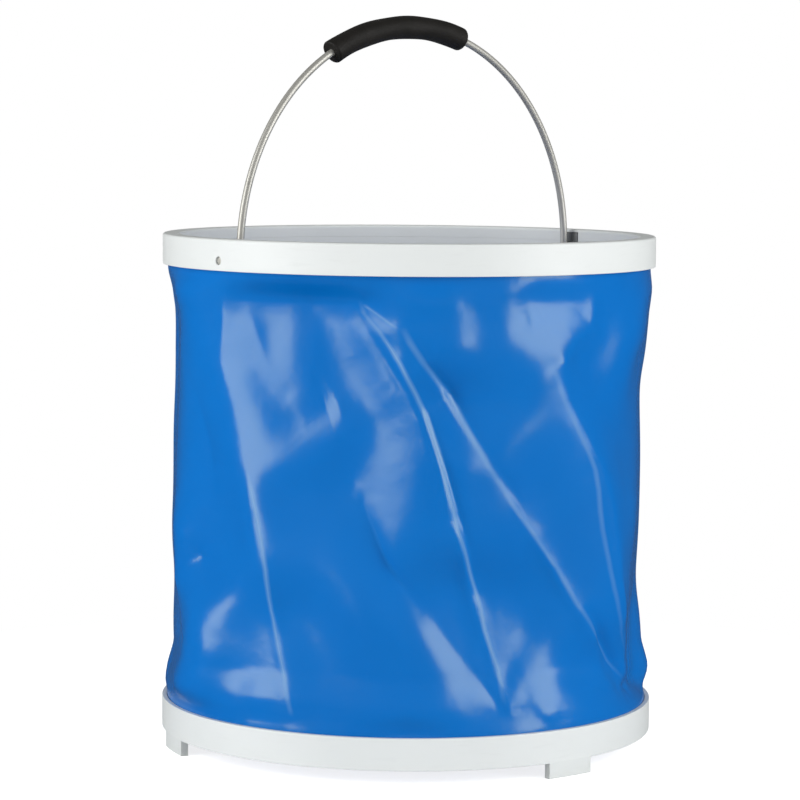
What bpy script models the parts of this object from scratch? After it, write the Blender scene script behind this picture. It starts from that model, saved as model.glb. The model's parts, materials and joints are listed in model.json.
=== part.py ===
"""Collapsible camp bucket, built the way the real one goes together.

Two pairs of plastic rings clamp the hemmed ends of a PVC wall. A wire bail with a
foam grip turns in two clips inside the rim. The bucket stands on three feet, with
+Z up and its origin on the ground under its centre. All lengths are in metres.
"""
import math

import bmesh
import bpy
from mathutils import Matrix, Vector

# Whole bucket
RING_RADIUS = 0.130
BUCKET_HEIGHT = 0.2693
RING_STEPS = 64

# Fits and build limits
FIT_GAP = 0.0003
CUT_OVERRUN = 0.010
MERGE_DISTANCE = 0.00001

# Sections of the four plastic rings
RIM_HEIGHT = 0.0160
BASE_HEIGHT = 0.0164
BAND_WALL = 0.0024
WEB_THICKNESS = 0.0022
CHANNEL_WALL = 0.0017
EDGE_RADIUS = 0.0012
SMALL_EDGE_RADIUS = 0.0004
EDGE_STEPS = 2

# Feet under the base ring
FOOT_HEIGHT = 0.0080
FOOT_WALL = 0.0040
FOOT_ANGLE = math.radians(12.5)
FOOT_AZIMUTHS = [math.radians(angle) for angle in (75.0, 200.3, 310.1)]
WEB_RELIEF = 0.0006
SECTOR_STEP = math.radians(15.0)

# PVC wall, its hems and the floor
FABRIC_THICKNESS = 0.0007
HEM_CORD_DIAMETER = 0.0020
HEM_CORD_SIDES = 6
HEM_LEG = 0.0016
HEM_STEPS = 4
WALL_ROWS = 12
FLOOR_SKIRT = 0.0070

# Folds of the wall: ridges that lean round the bucket from the rim to the base
FOLD_COUNT = 8
FOLD_AZIMUTH = math.radians(260.0)
FOLD_LEAN = math.radians(37.0)
FOLD_DEPTH = 0.0050
FOLD_FADE_SHARE = 0.22
WAIST_DEPTH = 0.0012
BULGE_DEPTH = 0.0013
BULGE_SHARE = 0.16

# Bail of bent wire, and the clips it turns in
BAIL_AZIMUTH = math.radians(42.4)
BAIL_AXIS_DROP = 0.0109
BAIL_INSET = 0.0055
BAIL_RISE = 0.1192
BAIL_BEND_RADIUS = 0.0030
BAIL_TIP_DEPTH = 0.0008
BAIL_ARCH_STEPS = 44
BAIL_BEND_STEPS = 4
WIRE_DIAMETER = 0.0038
WIRE_CLEARANCE = 0.0003
CLIP_PLATE_THICKNESS = 0.0010
CLIP_PROUD = 0.0005
CLIP_WIDTH = 0.0110
CLIP_RISE = 0.0092
CLIP_DROP = 0.0042
CLIP_BOSS_DEPTH = 0.0012
CLIP_BOSS_WIDTH = 0.0080
CLIP_BOSS_RISE = 0.0046
CLIP_BOSS_DROP = 0.0038
CLIP_BUSH_DIAMETER = 0.0070
ROUND_SIDES = 20

# Foam grip, slid a little off the middle of the bail
GRIP_DIAMETER = 0.0125
GRIP_START_ANGLE = math.radians(72.0)
GRIP_END_ANGLE = math.radians(118.6)
GRIP_STEPS = 16
GRIP_END_ROUND = 0.0010
GRIP_END_RADIUS_SHARE = 0.88

# Places worked out from the sizes above
RIM_TOP = BUCKET_HEIGHT
RIM_BOTTOM = RIM_TOP - RIM_HEIGHT
BASE_BOTTOM = FOOT_HEIGHT
BASE_TOP = BASE_BOTTOM + BASE_HEIGHT
BAND_INNER_RADIUS = RING_RADIUS - BAND_WALL
WALL_RADIUS = BAND_INNER_RADIUS - FIT_GAP - FABRIC_THICKNESS / 2
WALL_INNER_RADIUS = WALL_RADIUS - FABRIC_THICKNESS / 2
HEM_LOOP_RADIUS = HEM_CORD_DIAMETER / 2 + FIT_GAP + FABRIC_THICKNESS / 2
HEM_LOOP_OUTSIDE = HEM_LOOP_RADIUS + FABRIC_THICKNESS / 2
HEM_CENTRE_RADIUS = WALL_RADIUS - HEM_LOOP_RADIUS
HEM_LEG_RADIUS = HEM_CENTRE_RADIUS - HEM_LOOP_RADIUS
CHANNEL_FACE_RADIUS = HEM_LEG_RADIUS - FABRIC_THICKNESS / 2 - FIT_GAP
RING_BORE_RADIUS = CHANNEL_FACE_RADIUS - CHANNEL_WALL

RIM_WEB_UNDERSIDE = RIM_TOP - WEB_THICKNESS
RIM_HEM_CENTRE = RIM_WEB_UNDERSIDE - FIT_GAP - HEM_LOOP_OUTSIDE
RIM_CHANNEL_END = RIM_HEM_CENTRE - HEM_LEG
RIM_CLAMP_TOP = RIM_CHANNEL_END - FIT_GAP

BASE_WEB_UNDERSIDE = BASE_BOTTOM + WEB_RELIEF
BASE_WEB_TOP = BASE_WEB_UNDERSIDE + WEB_THICKNESS
BASE_HEM_CENTRE = BASE_WEB_TOP + FIT_GAP + HEM_LOOP_OUTSIDE
BASE_CHANNEL_END = BASE_HEM_CENTRE + HEM_LEG
FLOOR_HEIGHT = BASE_CHANNEL_END + FIT_GAP + FABRIC_THICKNESS / 2
FLOOR_TOP = FLOOR_HEIGHT + FABRIC_THICKNESS / 2
FLOOR_RADIUS = WALL_INNER_RADIUS - FIT_GAP - FABRIC_THICKNESS / 2
FLOOR_SKIRT_TOP = FLOOR_HEIGHT + FLOOR_SKIRT

BAIL_AXIS_HEIGHT = RIM_TOP - BAIL_AXIS_DROP
BAIL_TIP_RADIUS = RING_RADIUS - BAIL_TIP_DEPTH
BAIL_HALF_SPAN = RING_BORE_RADIUS - BAIL_INSET
WIRE_HOLE_DIAMETER = WIRE_DIAMETER + 2 * WIRE_CLEARANCE
CLIP_FACE_RADIUS = RING_BORE_RADIUS - CLIP_PROUD
CLIP_BACK_RADIUS = CLIP_FACE_RADIUS + CLIP_PLATE_THICKNESS
CLIP_BUSH_END_RADIUS = WALL_INNER_RADIUS - FIT_GAP

# Colours, roughness and metallic value of each material
MATERIALS = {
    "ring_plastic": ((0.78, 0.81, 0.80), 0.42, 0.0),
    "pvc_sheet": ((0.004, 0.17, 0.56), 0.36, 0.0),
    "hem_cord": ((0.62, 0.62, 0.60), 0.60, 0.0),
    "clip_plastic": ((0.14, 0.15, 0.15), 0.45, 0.0),
    "bail_wire": ((0.52, 0.51, 0.47), 0.32, 1.0),
    "grip_foam": ((0.020, 0.018, 0.014), 0.80, 0.0),
}


def clear_scene():
    for obj in list(bpy.data.objects):
        bpy.data.objects.remove(obj, do_unlink=True)


def new_collection(name):
    collection = bpy.data.collections.new(name)
    bpy.context.scene.collection.children.link(collection)
    return collection


def material(name):
    """The Principled material of this name, made on its first use."""
    if name in bpy.data.materials:
        return bpy.data.materials[name]
    colour, roughness, metallic = MATERIALS[name]
    made = bpy.data.materials.new(name)
    made.use_nodes = True
    made.diffuse_color = (*colour, 1.0)
    shader = made.node_tree.nodes["Principled BSDF"]
    shader.inputs["Base Color"].default_value = (*colour, 1.0)
    shader.inputs["Roughness"].default_value = roughness
    shader.inputs["Metallic"].default_value = metallic
    return made


def add_part(name, data, material_name):
    """Put a mesh or curve into the bucket's collection as one named part."""
    data.materials.append(material(material_name))
    obj = bpy.data.objects.new(name, data)
    parts.objects.link(obj)
    return obj


def add_cutter(name, data):
    """Put a mesh or curve among the shapes that only cut or join other parts."""
    obj = bpy.data.objects.new(name, data)
    cutters.objects.link(obj)
    obj.hide_render = True
    obj.display_type = "WIRE"
    return obj


def add_frame(name, location, azimuth=0.0, parent=None):
    """An empty that carries the pieces of one moving body."""
    frame = bpy.data.objects.new(name, None)
    parts.objects.link(frame)
    frame.location = location
    frame.rotation_euler.z = azimuth
    bpy.context.view_layer.update()
    if parent:
        attach(frame, parent)
    return frame


def attach(obj, frame):
    """Parent a piece to a frame and leave it where it stands."""
    obj.parent = frame
    obj.matrix_parent_inverse = frame.matrix_world.inverted()
    bpy.context.view_layer.update()


def shade_round(mesh):
    mesh.shade_smooth()
    mesh.set_sharp_from_angle(angle=math.radians(35.0))


def smoothstep(value):
    value = min(max(value, 0.0), 1.0)
    return value * value * (3.0 - 2.0 * value)


def rounded(corners):
    """An outline of square corners (radius, height, rounding) with their arcs put in."""
    outline = []
    for index, (radius, height, rounding) in enumerate(corners):
        corner = Vector((radius, height))
        if rounding == 0.0:
            outline.append(corner)
            continue
        before = corners[index - 1]
        after = corners[(index + 1) % len(corners)]
        back = (Vector(before[:2]) - corner).normalized() * rounding
        ahead = (Vector(after[:2]) - corner).normalized() * rounding
        for step in range(EDGE_STEPS + 1):
            turn = math.pi / 2 * step / EDGE_STEPS
            outline.append(corner + back * (1.0 - math.sin(turn)) + ahead * (1.0 - math.cos(turn)))
    return outline


def bake_modifiers(obj):
    """Make the shape that the modifiers show the object's own mesh."""
    bpy.context.view_layer.update()
    evaluated = obj.evaluated_get(bpy.context.evaluated_depsgraph_get())
    mesh = bpy.data.meshes.new_from_object(evaluated)
    mesh.name = obj.name
    obj.modifiers.clear()
    obj.data = mesh


def turned(name, outline, material_name, closed=True):
    """A part turned about Z from an outline that runs down its outer side."""
    mesh = bpy.data.meshes.new(name)
    points = [(radius, 0.0, height) for radius, height in outline]
    edges = [(index, index + 1) for index in range(len(points) - 1)]
    if closed:
        edges.append((len(points) - 1, 0))
    mesh.from_pydata(points, edges, [])
    obj = add_part(name, mesh, material_name)
    screw = obj.modifiers.new("Turn", "SCREW")
    screw.angle = math.tau
    screw.steps = RING_STEPS
    screw.render_steps = RING_STEPS
    screw.use_merge_vertices = True
    screw.merge_threshold = MERGE_DISTANCE
    bake_modifiers(obj)
    return obj


def thicken(obj, thickness):
    solidify = obj.modifiers.new("Thickness", "SOLIDIFY")
    solidify.thickness = thickness
    solidify.offset = 0.0
    solidify.use_even_offset = True


def cut(obj, cutter, operation="DIFFERENCE"):
    boolean = obj.modifiers.new(cutter.name, "BOOLEAN")
    boolean.operation = operation
    boolean.object = cutter


def box_mesh(name, low, high):
    low = Vector(low)
    high = Vector(high)
    place = Matrix.LocRotScale((low + high) / 2, None, high - low)
    bm = bmesh.new()
    bmesh.ops.create_cube(bm, size=1.0, matrix=place)
    mesh = bpy.data.meshes.new(name)
    bm.to_mesh(mesh)
    bm.free()
    return mesh


def rod_mesh(name, diameter, start, end):
    """A round rod along local X from start to end."""
    length = end - start
    lay_down = Matrix.Rotation(math.pi / 2, 4, "Y")
    place = Matrix.Translation((start + length / 2, 0.0, 0.0)) @ lay_down
    bm = bmesh.new()
    bmesh.ops.create_cone(bm, cap_ends=True, segments=ROUND_SIDES, radius1=diameter / 2,
                          radius2=diameter / 2, depth=length, matrix=place)
    mesh = bpy.data.meshes.new(name)
    bm.to_mesh(mesh)
    bm.free()
    return mesh


def tube_curve(name, points, diameter, swell=None):
    """A curve through the points, with a round section and closed ends."""
    curve = bpy.data.curves.new(name, "CURVE")
    curve.dimensions = "3D"
    curve.bevel_depth = diameter / 2
    curve.bevel_resolution = 2
    curve.use_fill_caps = True
    spline = curve.splines.new("POLY")
    spline.points.add(len(points) - 1)
    for index, (spline_point, place) in enumerate(zip(spline.points, points)):
        spline_point.co = (*place, 1.0)
        spline_point.radius = swell[index] if swell else 1.0
    return curve


def curve_to_mesh(obj):
    """The closed mesh of a tube, with its end caps welded on."""
    bpy.context.view_layer.update()
    evaluated = obj.evaluated_get(bpy.context.evaluated_depsgraph_get())
    mesh = bpy.data.meshes.new_from_object(evaluated)
    bm = bmesh.new()
    bm.from_mesh(mesh)
    bmesh.ops.remove_doubles(bm, verts=bm.verts, dist=MERGE_DISTANCE)
    bm.to_mesh(mesh)
    bm.free()
    return mesh


def replace_curve(obj):
    """Change a curve object into a mesh object of the same name, place and collection."""
    mesh = curve_to_mesh(obj)
    home = obj.users_collection[0]
    name = obj.name
    place = obj.matrix_world.copy()
    hidden = obj.hide_render
    display = obj.display_type
    bpy.data.objects.remove(obj, do_unlink=True)
    made = bpy.data.objects.new(name, mesh)
    home.objects.link(made)
    made.matrix_world = place
    made.hide_render = hidden
    made.display_type = display
    return made


def bail_place(azimuth=BAIL_AZIMUTH):
    """Hinge-axis frame: X runs out along the axis, at the height of the bail's ends."""
    lift = Matrix.Translation((0.0, 0.0, BAIL_AXIS_HEIGHT))
    return lift @ Matrix.Rotation(azimuth, 4, "Z")


def wire_hole_cutter(name):
    """A rod along the whole hinge axis, for the holes that the wire's ends pass through."""
    reach = RING_RADIUS + CUT_OVERRUN
    cutter = add_cutter(name, rod_mesh(name, WIRE_HOLE_DIAMETER, -reach, reach))
    cutter.matrix_world = bail_place()
    return cutter


def clip_azimuths():
    return {"left": BAIL_AZIMUTH + math.pi, "right": BAIL_AZIMUTH}


def clip_seat_cutters(side, azimuth):
    """The shallow seat of a clip's plate in the rim's bore, and the hole for its bush."""
    gap = Vector((FIT_GAP, FIT_GAP, FIT_GAP))
    low = Vector((RING_BORE_RADIUS - CUT_OVERRUN, -CLIP_WIDTH / 2, -CLIP_DROP))
    high = Vector((CLIP_BACK_RADIUS, CLIP_WIDTH / 2, CLIP_RISE))
    seat = add_cutter(f"clip_seat_{side}", box_mesh("clip_seat", low - gap, high + gap))
    seat.matrix_world = bail_place(azimuth)
    bush_hole = rod_mesh("clip_bush_hole", CLIP_BUSH_DIAMETER + 2 * FIT_GAP,
                         RING_BORE_RADIUS - CUT_OVERRUN, CLIP_BUSH_END_RADIUS + CUT_OVERRUN)
    hole = add_cutter(f"clip_bush_hole_{side}", bush_hole)
    hole.matrix_world = bail_place(azimuth)
    return seat, hole


def make_rim_rings():
    """Channel ring over the hem, and the clamp ring pressed in below it."""
    outer = turned("rim_outer_ring", rounded([
        (RING_RADIUS, RIM_TOP, EDGE_RADIUS),
        (RING_RADIUS, RIM_BOTTOM, SMALL_EDGE_RADIUS),
        (BAND_INNER_RADIUS, RIM_BOTTOM, 0.0),
        (BAND_INNER_RADIUS, RIM_WEB_UNDERSIDE, 0.0),
        (CHANNEL_FACE_RADIUS, RIM_WEB_UNDERSIDE, 0.0),
        (CHANNEL_FACE_RADIUS, RIM_CHANNEL_END, 0.0),
        (RING_BORE_RADIUS, RIM_CHANNEL_END, 0.0),
        (RING_BORE_RADIUS, RIM_TOP, EDGE_RADIUS),
    ]), "ring_plastic")
    clamp = turned("rim_clamp_ring", rounded([
        (WALL_INNER_RADIUS - FIT_GAP, RIM_CLAMP_TOP, 0.0),
        (WALL_INNER_RADIUS - FIT_GAP, RIM_BOTTOM, SMALL_EDGE_RADIUS),
        (RING_BORE_RADIUS, RIM_BOTTOM, SMALL_EDGE_RADIUS),
        (RING_BORE_RADIUS, RIM_CLAMP_TOP, 0.0),
    ]), "ring_plastic")
    for side, azimuth in clip_azimuths().items():
        seat, hole = clip_seat_cutters(side, azimuth)
        cut(outer, seat)
        cut(clamp, seat)
        cut(clamp, hole)
    cut(outer, wire_hole_cutter("band_wire_hole"))
    return [outer, clamp]


def between_feet_cutter(number, start, end):
    """A wedge that clears the foot skirt from one foot to the next."""
    count = math.ceil((end - start) / SECTOR_STEP)
    reach = RING_RADIUS + CUT_OVERRUN
    outline = [(0.0, 0.0)]
    for step in range(count + 1):
        azimuth = start + (end - start) * step / count
        outline.append((reach * math.cos(azimuth), reach * math.sin(azimuth)))
    curve = bpy.data.curves.new("between_feet", "CURVE")
    curve.dimensions = "2D"
    curve.fill_mode = "BOTH"
    curve.extrude = (FOOT_HEIGHT + CUT_OVERRUN) / 2
    spline = curve.splines.new("POLY")
    spline.use_cyclic_u = True
    spline.points.add(len(outline) - 1)
    for spline_point, (x, y) in zip(spline.points, outline):
        spline_point.co = (x, y, 0.0, 1.0)
    cutter = add_cutter(f"between_feet_{number}", curve)
    cutter.location.z = (FOOT_HEIGHT - CUT_OVERRUN) / 2
    return replace_curve(cutter)


def make_base_rings():
    """Channel ring with the three feet, and the clamp ring on the floor's edge."""
    outer = turned("base_outer_ring", rounded([
        (RING_RADIUS, BASE_TOP, SMALL_EDGE_RADIUS),
        (RING_RADIUS, 0.0, SMALL_EDGE_RADIUS),
        (RING_RADIUS - FOOT_WALL, 0.0, 0.0),
        (RING_RADIUS - FOOT_WALL, BASE_WEB_UNDERSIDE, 0.0),
        (RING_BORE_RADIUS, BASE_WEB_UNDERSIDE, SMALL_EDGE_RADIUS),
        (RING_BORE_RADIUS, BASE_CHANNEL_END, 0.0),
        (CHANNEL_FACE_RADIUS, BASE_CHANNEL_END, 0.0),
        (CHANNEL_FACE_RADIUS, BASE_WEB_TOP, 0.0),
        (BAND_INNER_RADIUS, BASE_WEB_TOP, 0.0),
        (BAND_INNER_RADIUS, BASE_TOP, 0.0),
    ]), "ring_plastic")
    for number, azimuth in enumerate(FOOT_AZIMUTHS):
        following = FOOT_AZIMUTHS[(number + 1) % len(FOOT_AZIMUTHS)]
        gap_angle = (following - azimuth) % math.tau
        start = azimuth + FOOT_ANGLE / 2
        end = azimuth + gap_angle - FOOT_ANGLE / 2
        cut(outer, between_feet_cutter(number + 1, start, end))
    clamp_outer = FLOOR_RADIUS - FABRIC_THICKNESS / 2 - FIT_GAP
    clamp = turned("base_clamp_ring", rounded([
        (clamp_outer, BASE_TOP, 0.0),
        (clamp_outer, FLOOR_TOP + FIT_GAP, 0.0),
        (RING_BORE_RADIUS, FLOOR_TOP + FIT_GAP, 0.0),
        (RING_BORE_RADIUS, BASE_TOP, EDGE_RADIUS),
    ]), "ring_plastic")
    return [outer, clamp]


def make_hem_cord(name, centre_height):
    """The round cord that fills a hem and keeps it from pulling out of its channel."""
    radius = HEM_CORD_DIAMETER / 2
    outline = []
    for side in range(HEM_CORD_SIDES):
        turn = -math.tau * side / HEM_CORD_SIDES
        outline.append((HEM_CENTRE_RADIUS + radius * math.cos(turn),
                        centre_height + radius * math.sin(turn)))
    return turned(name, outline, "hem_cord")


def make_floor():
    """Round floor sheet, with its edge turned up inside the wall and welded to it."""
    floor = turned("floor_sheet", [
        (FLOOR_RADIUS, FLOOR_SKIRT_TOP),
        (FLOOR_RADIUS, FLOOR_HEIGHT),
        (FLOOR_RADIUS / 2, FLOOR_HEIGHT),
        (0.0, FLOOR_HEIGHT),
    ], "pvc_sheet", closed=False)
    thicken(floor, FABRIC_THICKNESS)
    return floor


def hem_loop(centre_height, start_turn, end_turn):
    """Points round one hem, from one side of its cord to the other."""
    points = []
    for step in range(HEM_STEPS + 1):
        turn = start_turn + (end_turn - start_turn) * step / HEM_STEPS
        points.append((HEM_CENTRE_RADIUS + HEM_LOOP_RADIUS * math.cos(turn),
                       centre_height + HEM_LOOP_RADIUS * math.sin(turn)))
    return points


def wall_outline():
    """The fabric's path: down from the rim's hem, down the wall, round the base's hem."""
    outline = [(HEM_LEG_RADIUS, RIM_CHANNEL_END)]
    outline += hem_loop(RIM_HEM_CENTRE, math.pi, 0.0)
    for row in range(WALL_ROWS + 1):
        height = RIM_BOTTOM + (BASE_TOP - RIM_BOTTOM) * row / WALL_ROWS
        outline.append((WALL_RADIUS, height))
    outline += hem_loop(BASE_HEM_CENTRE, 0.0, -math.pi)
    outline.append((HEM_LEG_RADIUS, BASE_CHANNEL_END))
    return outline


def height_share(height):
    """0 where the wall leaves the base ring, 1 where it enters the rim."""
    return min(max((height - BASE_TOP) / (RIM_BOTTOM - BASE_TOP), 0.0), 1.0)


def wall_offset(share, ridge_angle):
    """How far the wall stands out at a share of its height and an angle from a ridge."""
    fade = smoothstep(min(share, 1.0 - share) / FOLD_FADE_SHARE)
    fold = -FOLD_DEPTH * fade * abs(math.sin(FOLD_COUNT * ridge_angle / 2))
    waist = -WAIST_DEPTH * math.sin(math.pi * share)
    bulge = BULGE_DEPTH * math.sin(math.pi * min(share / BULGE_SHARE, 1.0))
    return fold + waist + bulge


def make_wall():
    """The folded PVC wall: a spun sleeve whose rows turn and move in and out."""
    bm = bmesh.new()
    verts = [bm.verts.new((radius, 0.0, height)) for radius, height in wall_outline()]
    edges = [bm.edges.new(pair) for pair in zip(verts, verts[1:])]
    bmesh.ops.rotate(bm, verts=verts, matrix=Matrix.Rotation(FOLD_AZIMUTH, 3, "Z"))
    bmesh.ops.spin(bm, geom=verts + edges, axis=(0.0, 0.0, 1.0), angle=math.tau,
                   steps=RING_STEPS, use_merge=True)
    for vert in bm.verts:
        share = height_share(vert.co.z)
        ridge_angle = math.atan2(vert.co.y, vert.co.x) - FOLD_AZIMUTH
        outward = Vector((vert.co.x, vert.co.y, 0.0)).normalized()
        vert.co += outward * wall_offset(share, ridge_angle)
        vert.co.rotate(Matrix.Rotation(FOLD_LEAN * (1.0 - share), 3, "Z"))
    bmesh.ops.recalc_face_normals(bm, faces=bm.faces)
    mesh = bpy.data.meshes.new("wall_sleeve")
    bm.to_mesh(mesh)
    bm.free()
    wall = add_part("wall_sleeve", mesh, "pvc_sheet")
    thicken(wall, FABRIC_THICKNESS)
    cut(wall, wire_hole_cutter("wall_wire_hole"))
    return wall


def make_clip(side, azimuth):
    """Plate, inner boss and bush of one bail clip, with the wire's hole through them."""
    plate = box_mesh("bail_clip", (CLIP_FACE_RADIUS, -CLIP_WIDTH / 2, -CLIP_DROP),
                     (CLIP_BACK_RADIUS, CLIP_WIDTH / 2, CLIP_RISE))
    clip = add_part(f"bail_clip_{side}", plate, "clip_plastic")
    boss = add_cutter(f"clip_boss_{side}", box_mesh(
        "clip_boss", (CLIP_FACE_RADIUS - CLIP_BOSS_DEPTH, -CLIP_BOSS_WIDTH / 2, -CLIP_BOSS_DROP),
        (CLIP_FACE_RADIUS + CLIP_PLATE_THICKNESS / 2, CLIP_BOSS_WIDTH / 2, CLIP_BOSS_RISE)))
    bush = add_cutter(f"clip_bush_{side}", rod_mesh(
        "clip_bush", CLIP_BUSH_DIAMETER, CLIP_FACE_RADIUS + CLIP_PLATE_THICKNESS / 2,
        CLIP_BUSH_END_RADIUS))
    for obj in (clip, boss, bush):
        obj.matrix_world = bail_place(azimuth)
    cut(clip, boss, "UNION")
    cut(clip, bush, "UNION")
    cut(clip, wire_hole_cutter(f"clip_wire_hole_{side}"))
    return clip


def arch_point(turn):
    """A point on the bail's arch, from its right leg at 0 to its left leg at pi."""
    rise = BAIL_RISE - BAIL_BEND_RADIUS
    return Vector((BAIL_HALF_SPAN * math.cos(turn), 0.0,
                   BAIL_BEND_RADIUS + rise * math.sin(turn)))


def foot_points():
    """The right end of the wire: in from its tip along the hinge axis, then up its bend."""
    points = [Vector((BAIL_TIP_RADIUS, 0.0, 0.0))]
    centre = Vector((BAIL_HALF_SPAN + BAIL_BEND_RADIUS, 0.0, BAIL_BEND_RADIUS))
    for step in range(BAIL_BEND_STEPS):
        turn = math.pi / 2 * step / BAIL_BEND_STEPS
        points.append(centre - Vector((math.sin(turn), 0.0, math.cos(turn))) * BAIL_BEND_RADIUS)
    return points


def make_bail_wire():
    right = foot_points()
    left = [Vector((-point.x, 0.0, point.z)) for point in reversed(right)]
    arch = [arch_point(math.pi * step / BAIL_ARCH_STEPS) for step in range(BAIL_ARCH_STEPS + 1)]
    wire = add_part("bail_wire", tube_curve("bail_wire", right + arch + left, WIRE_DIAMETER),
                    "bail_wire")
    wire.matrix_world = bail_place()
    return wire


def make_grip():
    """Foam sleeve round the top of the bail, with slightly rounded ends."""
    span = GRIP_END_ANGLE - GRIP_START_ANGLE
    end_turn = GRIP_END_ROUND / BAIL_RISE
    turns = [GRIP_START_ANGLE]
    for step in range(GRIP_STEPS + 1):
        turns.append(GRIP_START_ANGLE + end_turn + (span - 2 * end_turn) * step / GRIP_STEPS)
    turns.append(GRIP_END_ANGLE)
    swell = [1.0] * len(turns)
    swell[0] = GRIP_END_RADIUS_SHARE
    swell[-1] = GRIP_END_RADIUS_SHARE
    path = [arch_point(turn) for turn in turns]
    curve = tube_curve("bail_grip", path, GRIP_DIAMETER, swell)
    grip = add_part("bail_grip", curve, "grip_foam")
    grip.matrix_world = bail_place()
    grip = replace_curve(grip)
    ahead = (path[0] - path[1]).normalized() * CUT_OVERRUN
    behind = (path[-1] - path[-2]).normalized() * CUT_OVERRUN
    bore_path = [path[0] + ahead] + path + [path[-1] + behind]
    bore_curve = tube_curve("grip_bore", bore_path, WIRE_HOLE_DIAMETER)
    bore = add_cutter("grip_bore", bore_curve)
    bore.matrix_world = bail_place()
    cut(grip, replace_curve(bore))
    return grip


def build_bucket():
    base = add_frame("base_frame", (0.0, 0.0, 0.0))
    wall = add_frame("wall_frame", (0.0, 0.0, BASE_TOP), parent=base)
    rim = add_frame("rim_frame", (0.0, 0.0, RIM_BOTTOM), parent=wall)
    bail = add_frame("bail_axis", (0.0, 0.0, BAIL_AXIS_HEIGHT), BAIL_AZIMUTH, parent=rim)

    base_pieces = make_base_rings()
    base_pieces.append(make_hem_cord("base_hem_cord", BASE_HEM_CENTRE))
    base_pieces.append(make_floor())
    rim_pieces = make_rim_rings()
    rim_pieces.append(make_hem_cord("rim_hem_cord", RIM_HEM_CENTRE))
    for side, azimuth in clip_azimuths().items():
        rim_pieces.append(make_clip(side, azimuth))
    wall_pieces = [make_wall()]
    bail_pieces = [make_bail_wire(), make_grip()]

    for frame, pieces in ((base, base_pieces), (wall, wall_pieces),
                          (rim, rim_pieces), (bail, bail_pieces)):
        for piece in pieces:
            attach(piece, frame)
            if piece.type == "MESH":
                shade_round(piece.data)


clear_scene()
parts = new_collection("camp_bucket")
cutters = new_collection("camp_bucket_cutters")
build_bucket()
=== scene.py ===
# %% [markdown]
# # A collapsible camp bucket
# The bucket is a blue PVC wall held between a white plastic rim and a white base ring with
# three feet. A wire bail with a foam grip turns in two clips inside the rim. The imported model
# gives every place and size, so a new piece only has to be built where its node already is.

import json
import math

import bmesh
import bpy
import numpy as np
from mathutils import Matrix, Vector


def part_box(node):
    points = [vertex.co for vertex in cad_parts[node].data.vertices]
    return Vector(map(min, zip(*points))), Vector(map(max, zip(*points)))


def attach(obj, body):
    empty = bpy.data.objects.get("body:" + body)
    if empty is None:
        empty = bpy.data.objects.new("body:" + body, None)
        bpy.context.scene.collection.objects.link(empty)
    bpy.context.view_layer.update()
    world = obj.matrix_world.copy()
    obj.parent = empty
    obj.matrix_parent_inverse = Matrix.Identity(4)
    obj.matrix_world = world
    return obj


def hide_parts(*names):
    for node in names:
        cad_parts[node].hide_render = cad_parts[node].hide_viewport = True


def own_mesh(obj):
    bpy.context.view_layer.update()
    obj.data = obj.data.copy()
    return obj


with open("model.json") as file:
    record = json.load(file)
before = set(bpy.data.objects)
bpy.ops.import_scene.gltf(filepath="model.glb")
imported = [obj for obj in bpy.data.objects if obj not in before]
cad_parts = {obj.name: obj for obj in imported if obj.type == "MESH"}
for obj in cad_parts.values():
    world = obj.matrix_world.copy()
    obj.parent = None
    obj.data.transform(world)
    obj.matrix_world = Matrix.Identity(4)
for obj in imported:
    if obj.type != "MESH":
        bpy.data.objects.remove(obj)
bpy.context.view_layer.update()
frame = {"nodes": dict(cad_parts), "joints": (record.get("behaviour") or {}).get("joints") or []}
print("nodes:", len(frame["nodes"]))

# %% [markdown]
# ## The bucket's own sizes
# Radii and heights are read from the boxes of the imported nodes. Wall thicknesses, the bore and
# the feet's height can't be read from a box, so they are named here. Everything is in metres.

# %% Read the sizes
rim_low, rim_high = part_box("rim_outer_ring")
base_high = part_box("base_outer_ring")[1]
rim_clamp_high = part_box("rim_clamp_ring")[1]
base_clamp_low, base_clamp_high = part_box("base_clamp_ring")
floor_low, floor_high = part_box("floor_sheet")

MM = 0.001
RING_RADIUS = rim_high.x
RIM_TOP, RIM_BOTTOM = rim_high.z, rim_low.z
BASE_TOP = base_high.z
FOOT_HEIGHT = 8.0 * MM
BAND_WALL = 2.4 * MM
WEB_THICKNESS = 2.2 * MM
CHANNEL_WALL = 1.7 * MM
FIT_GAP = 0.3 * MM
FABRIC = 0.7 * MM
BORE_RADIUS = 121.3 * MM
CHANNEL_FACE = BORE_RADIUS + CHANNEL_WALL
RIM_CHANNEL_END = rim_clamp_high.z + FIT_GAP
BASE_CHANNEL_END = floor_low.z - FIT_GAP
WALL_RADIUS = RING_RADIUS - BAND_WALL - FIT_GAP - FABRIC / 2
print(f"ring radius {RING_RADIUS:.4f}, rim top {RIM_TOP:.4f}, base top {BASE_TOP:.4f}")

# %% [markdown]
# ## Camera
# The photograph was taken from nearly level, with a long lens, and looks slightly down on the
# rim. The place and the lens come from fitting both rings to the picture.

# %% Place the camera
CAMERA_PLACE = Vector((-0.00429, -1.6965, 0.3360))
CAMERA_PITCH = 0.0911
CAMERA_ROLL = 0.008
CAMERA_LENS, CAMERA_SENSOR = 144.4, 36.0
camera_data = bpy.data.cameras.new("camera")
camera_data.lens = CAMERA_LENS
camera_data.sensor_width = CAMERA_SENSOR
camera = bpy.data.objects.new("camera", camera_data)
bpy.context.scene.collection.objects.link(camera)
look = Matrix.Rotation(math.pi / 2 - CAMERA_PITCH, 4, "X")
camera.matrix_world = Matrix.Translation(CAMERA_PLACE) @ look @ Matrix.Rotation(CAMERA_ROLL, 4, "Z")
bpy.context.scene.camera = camera
print("camera at", tuple(round(value, 4) for value in camera.location))

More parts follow.
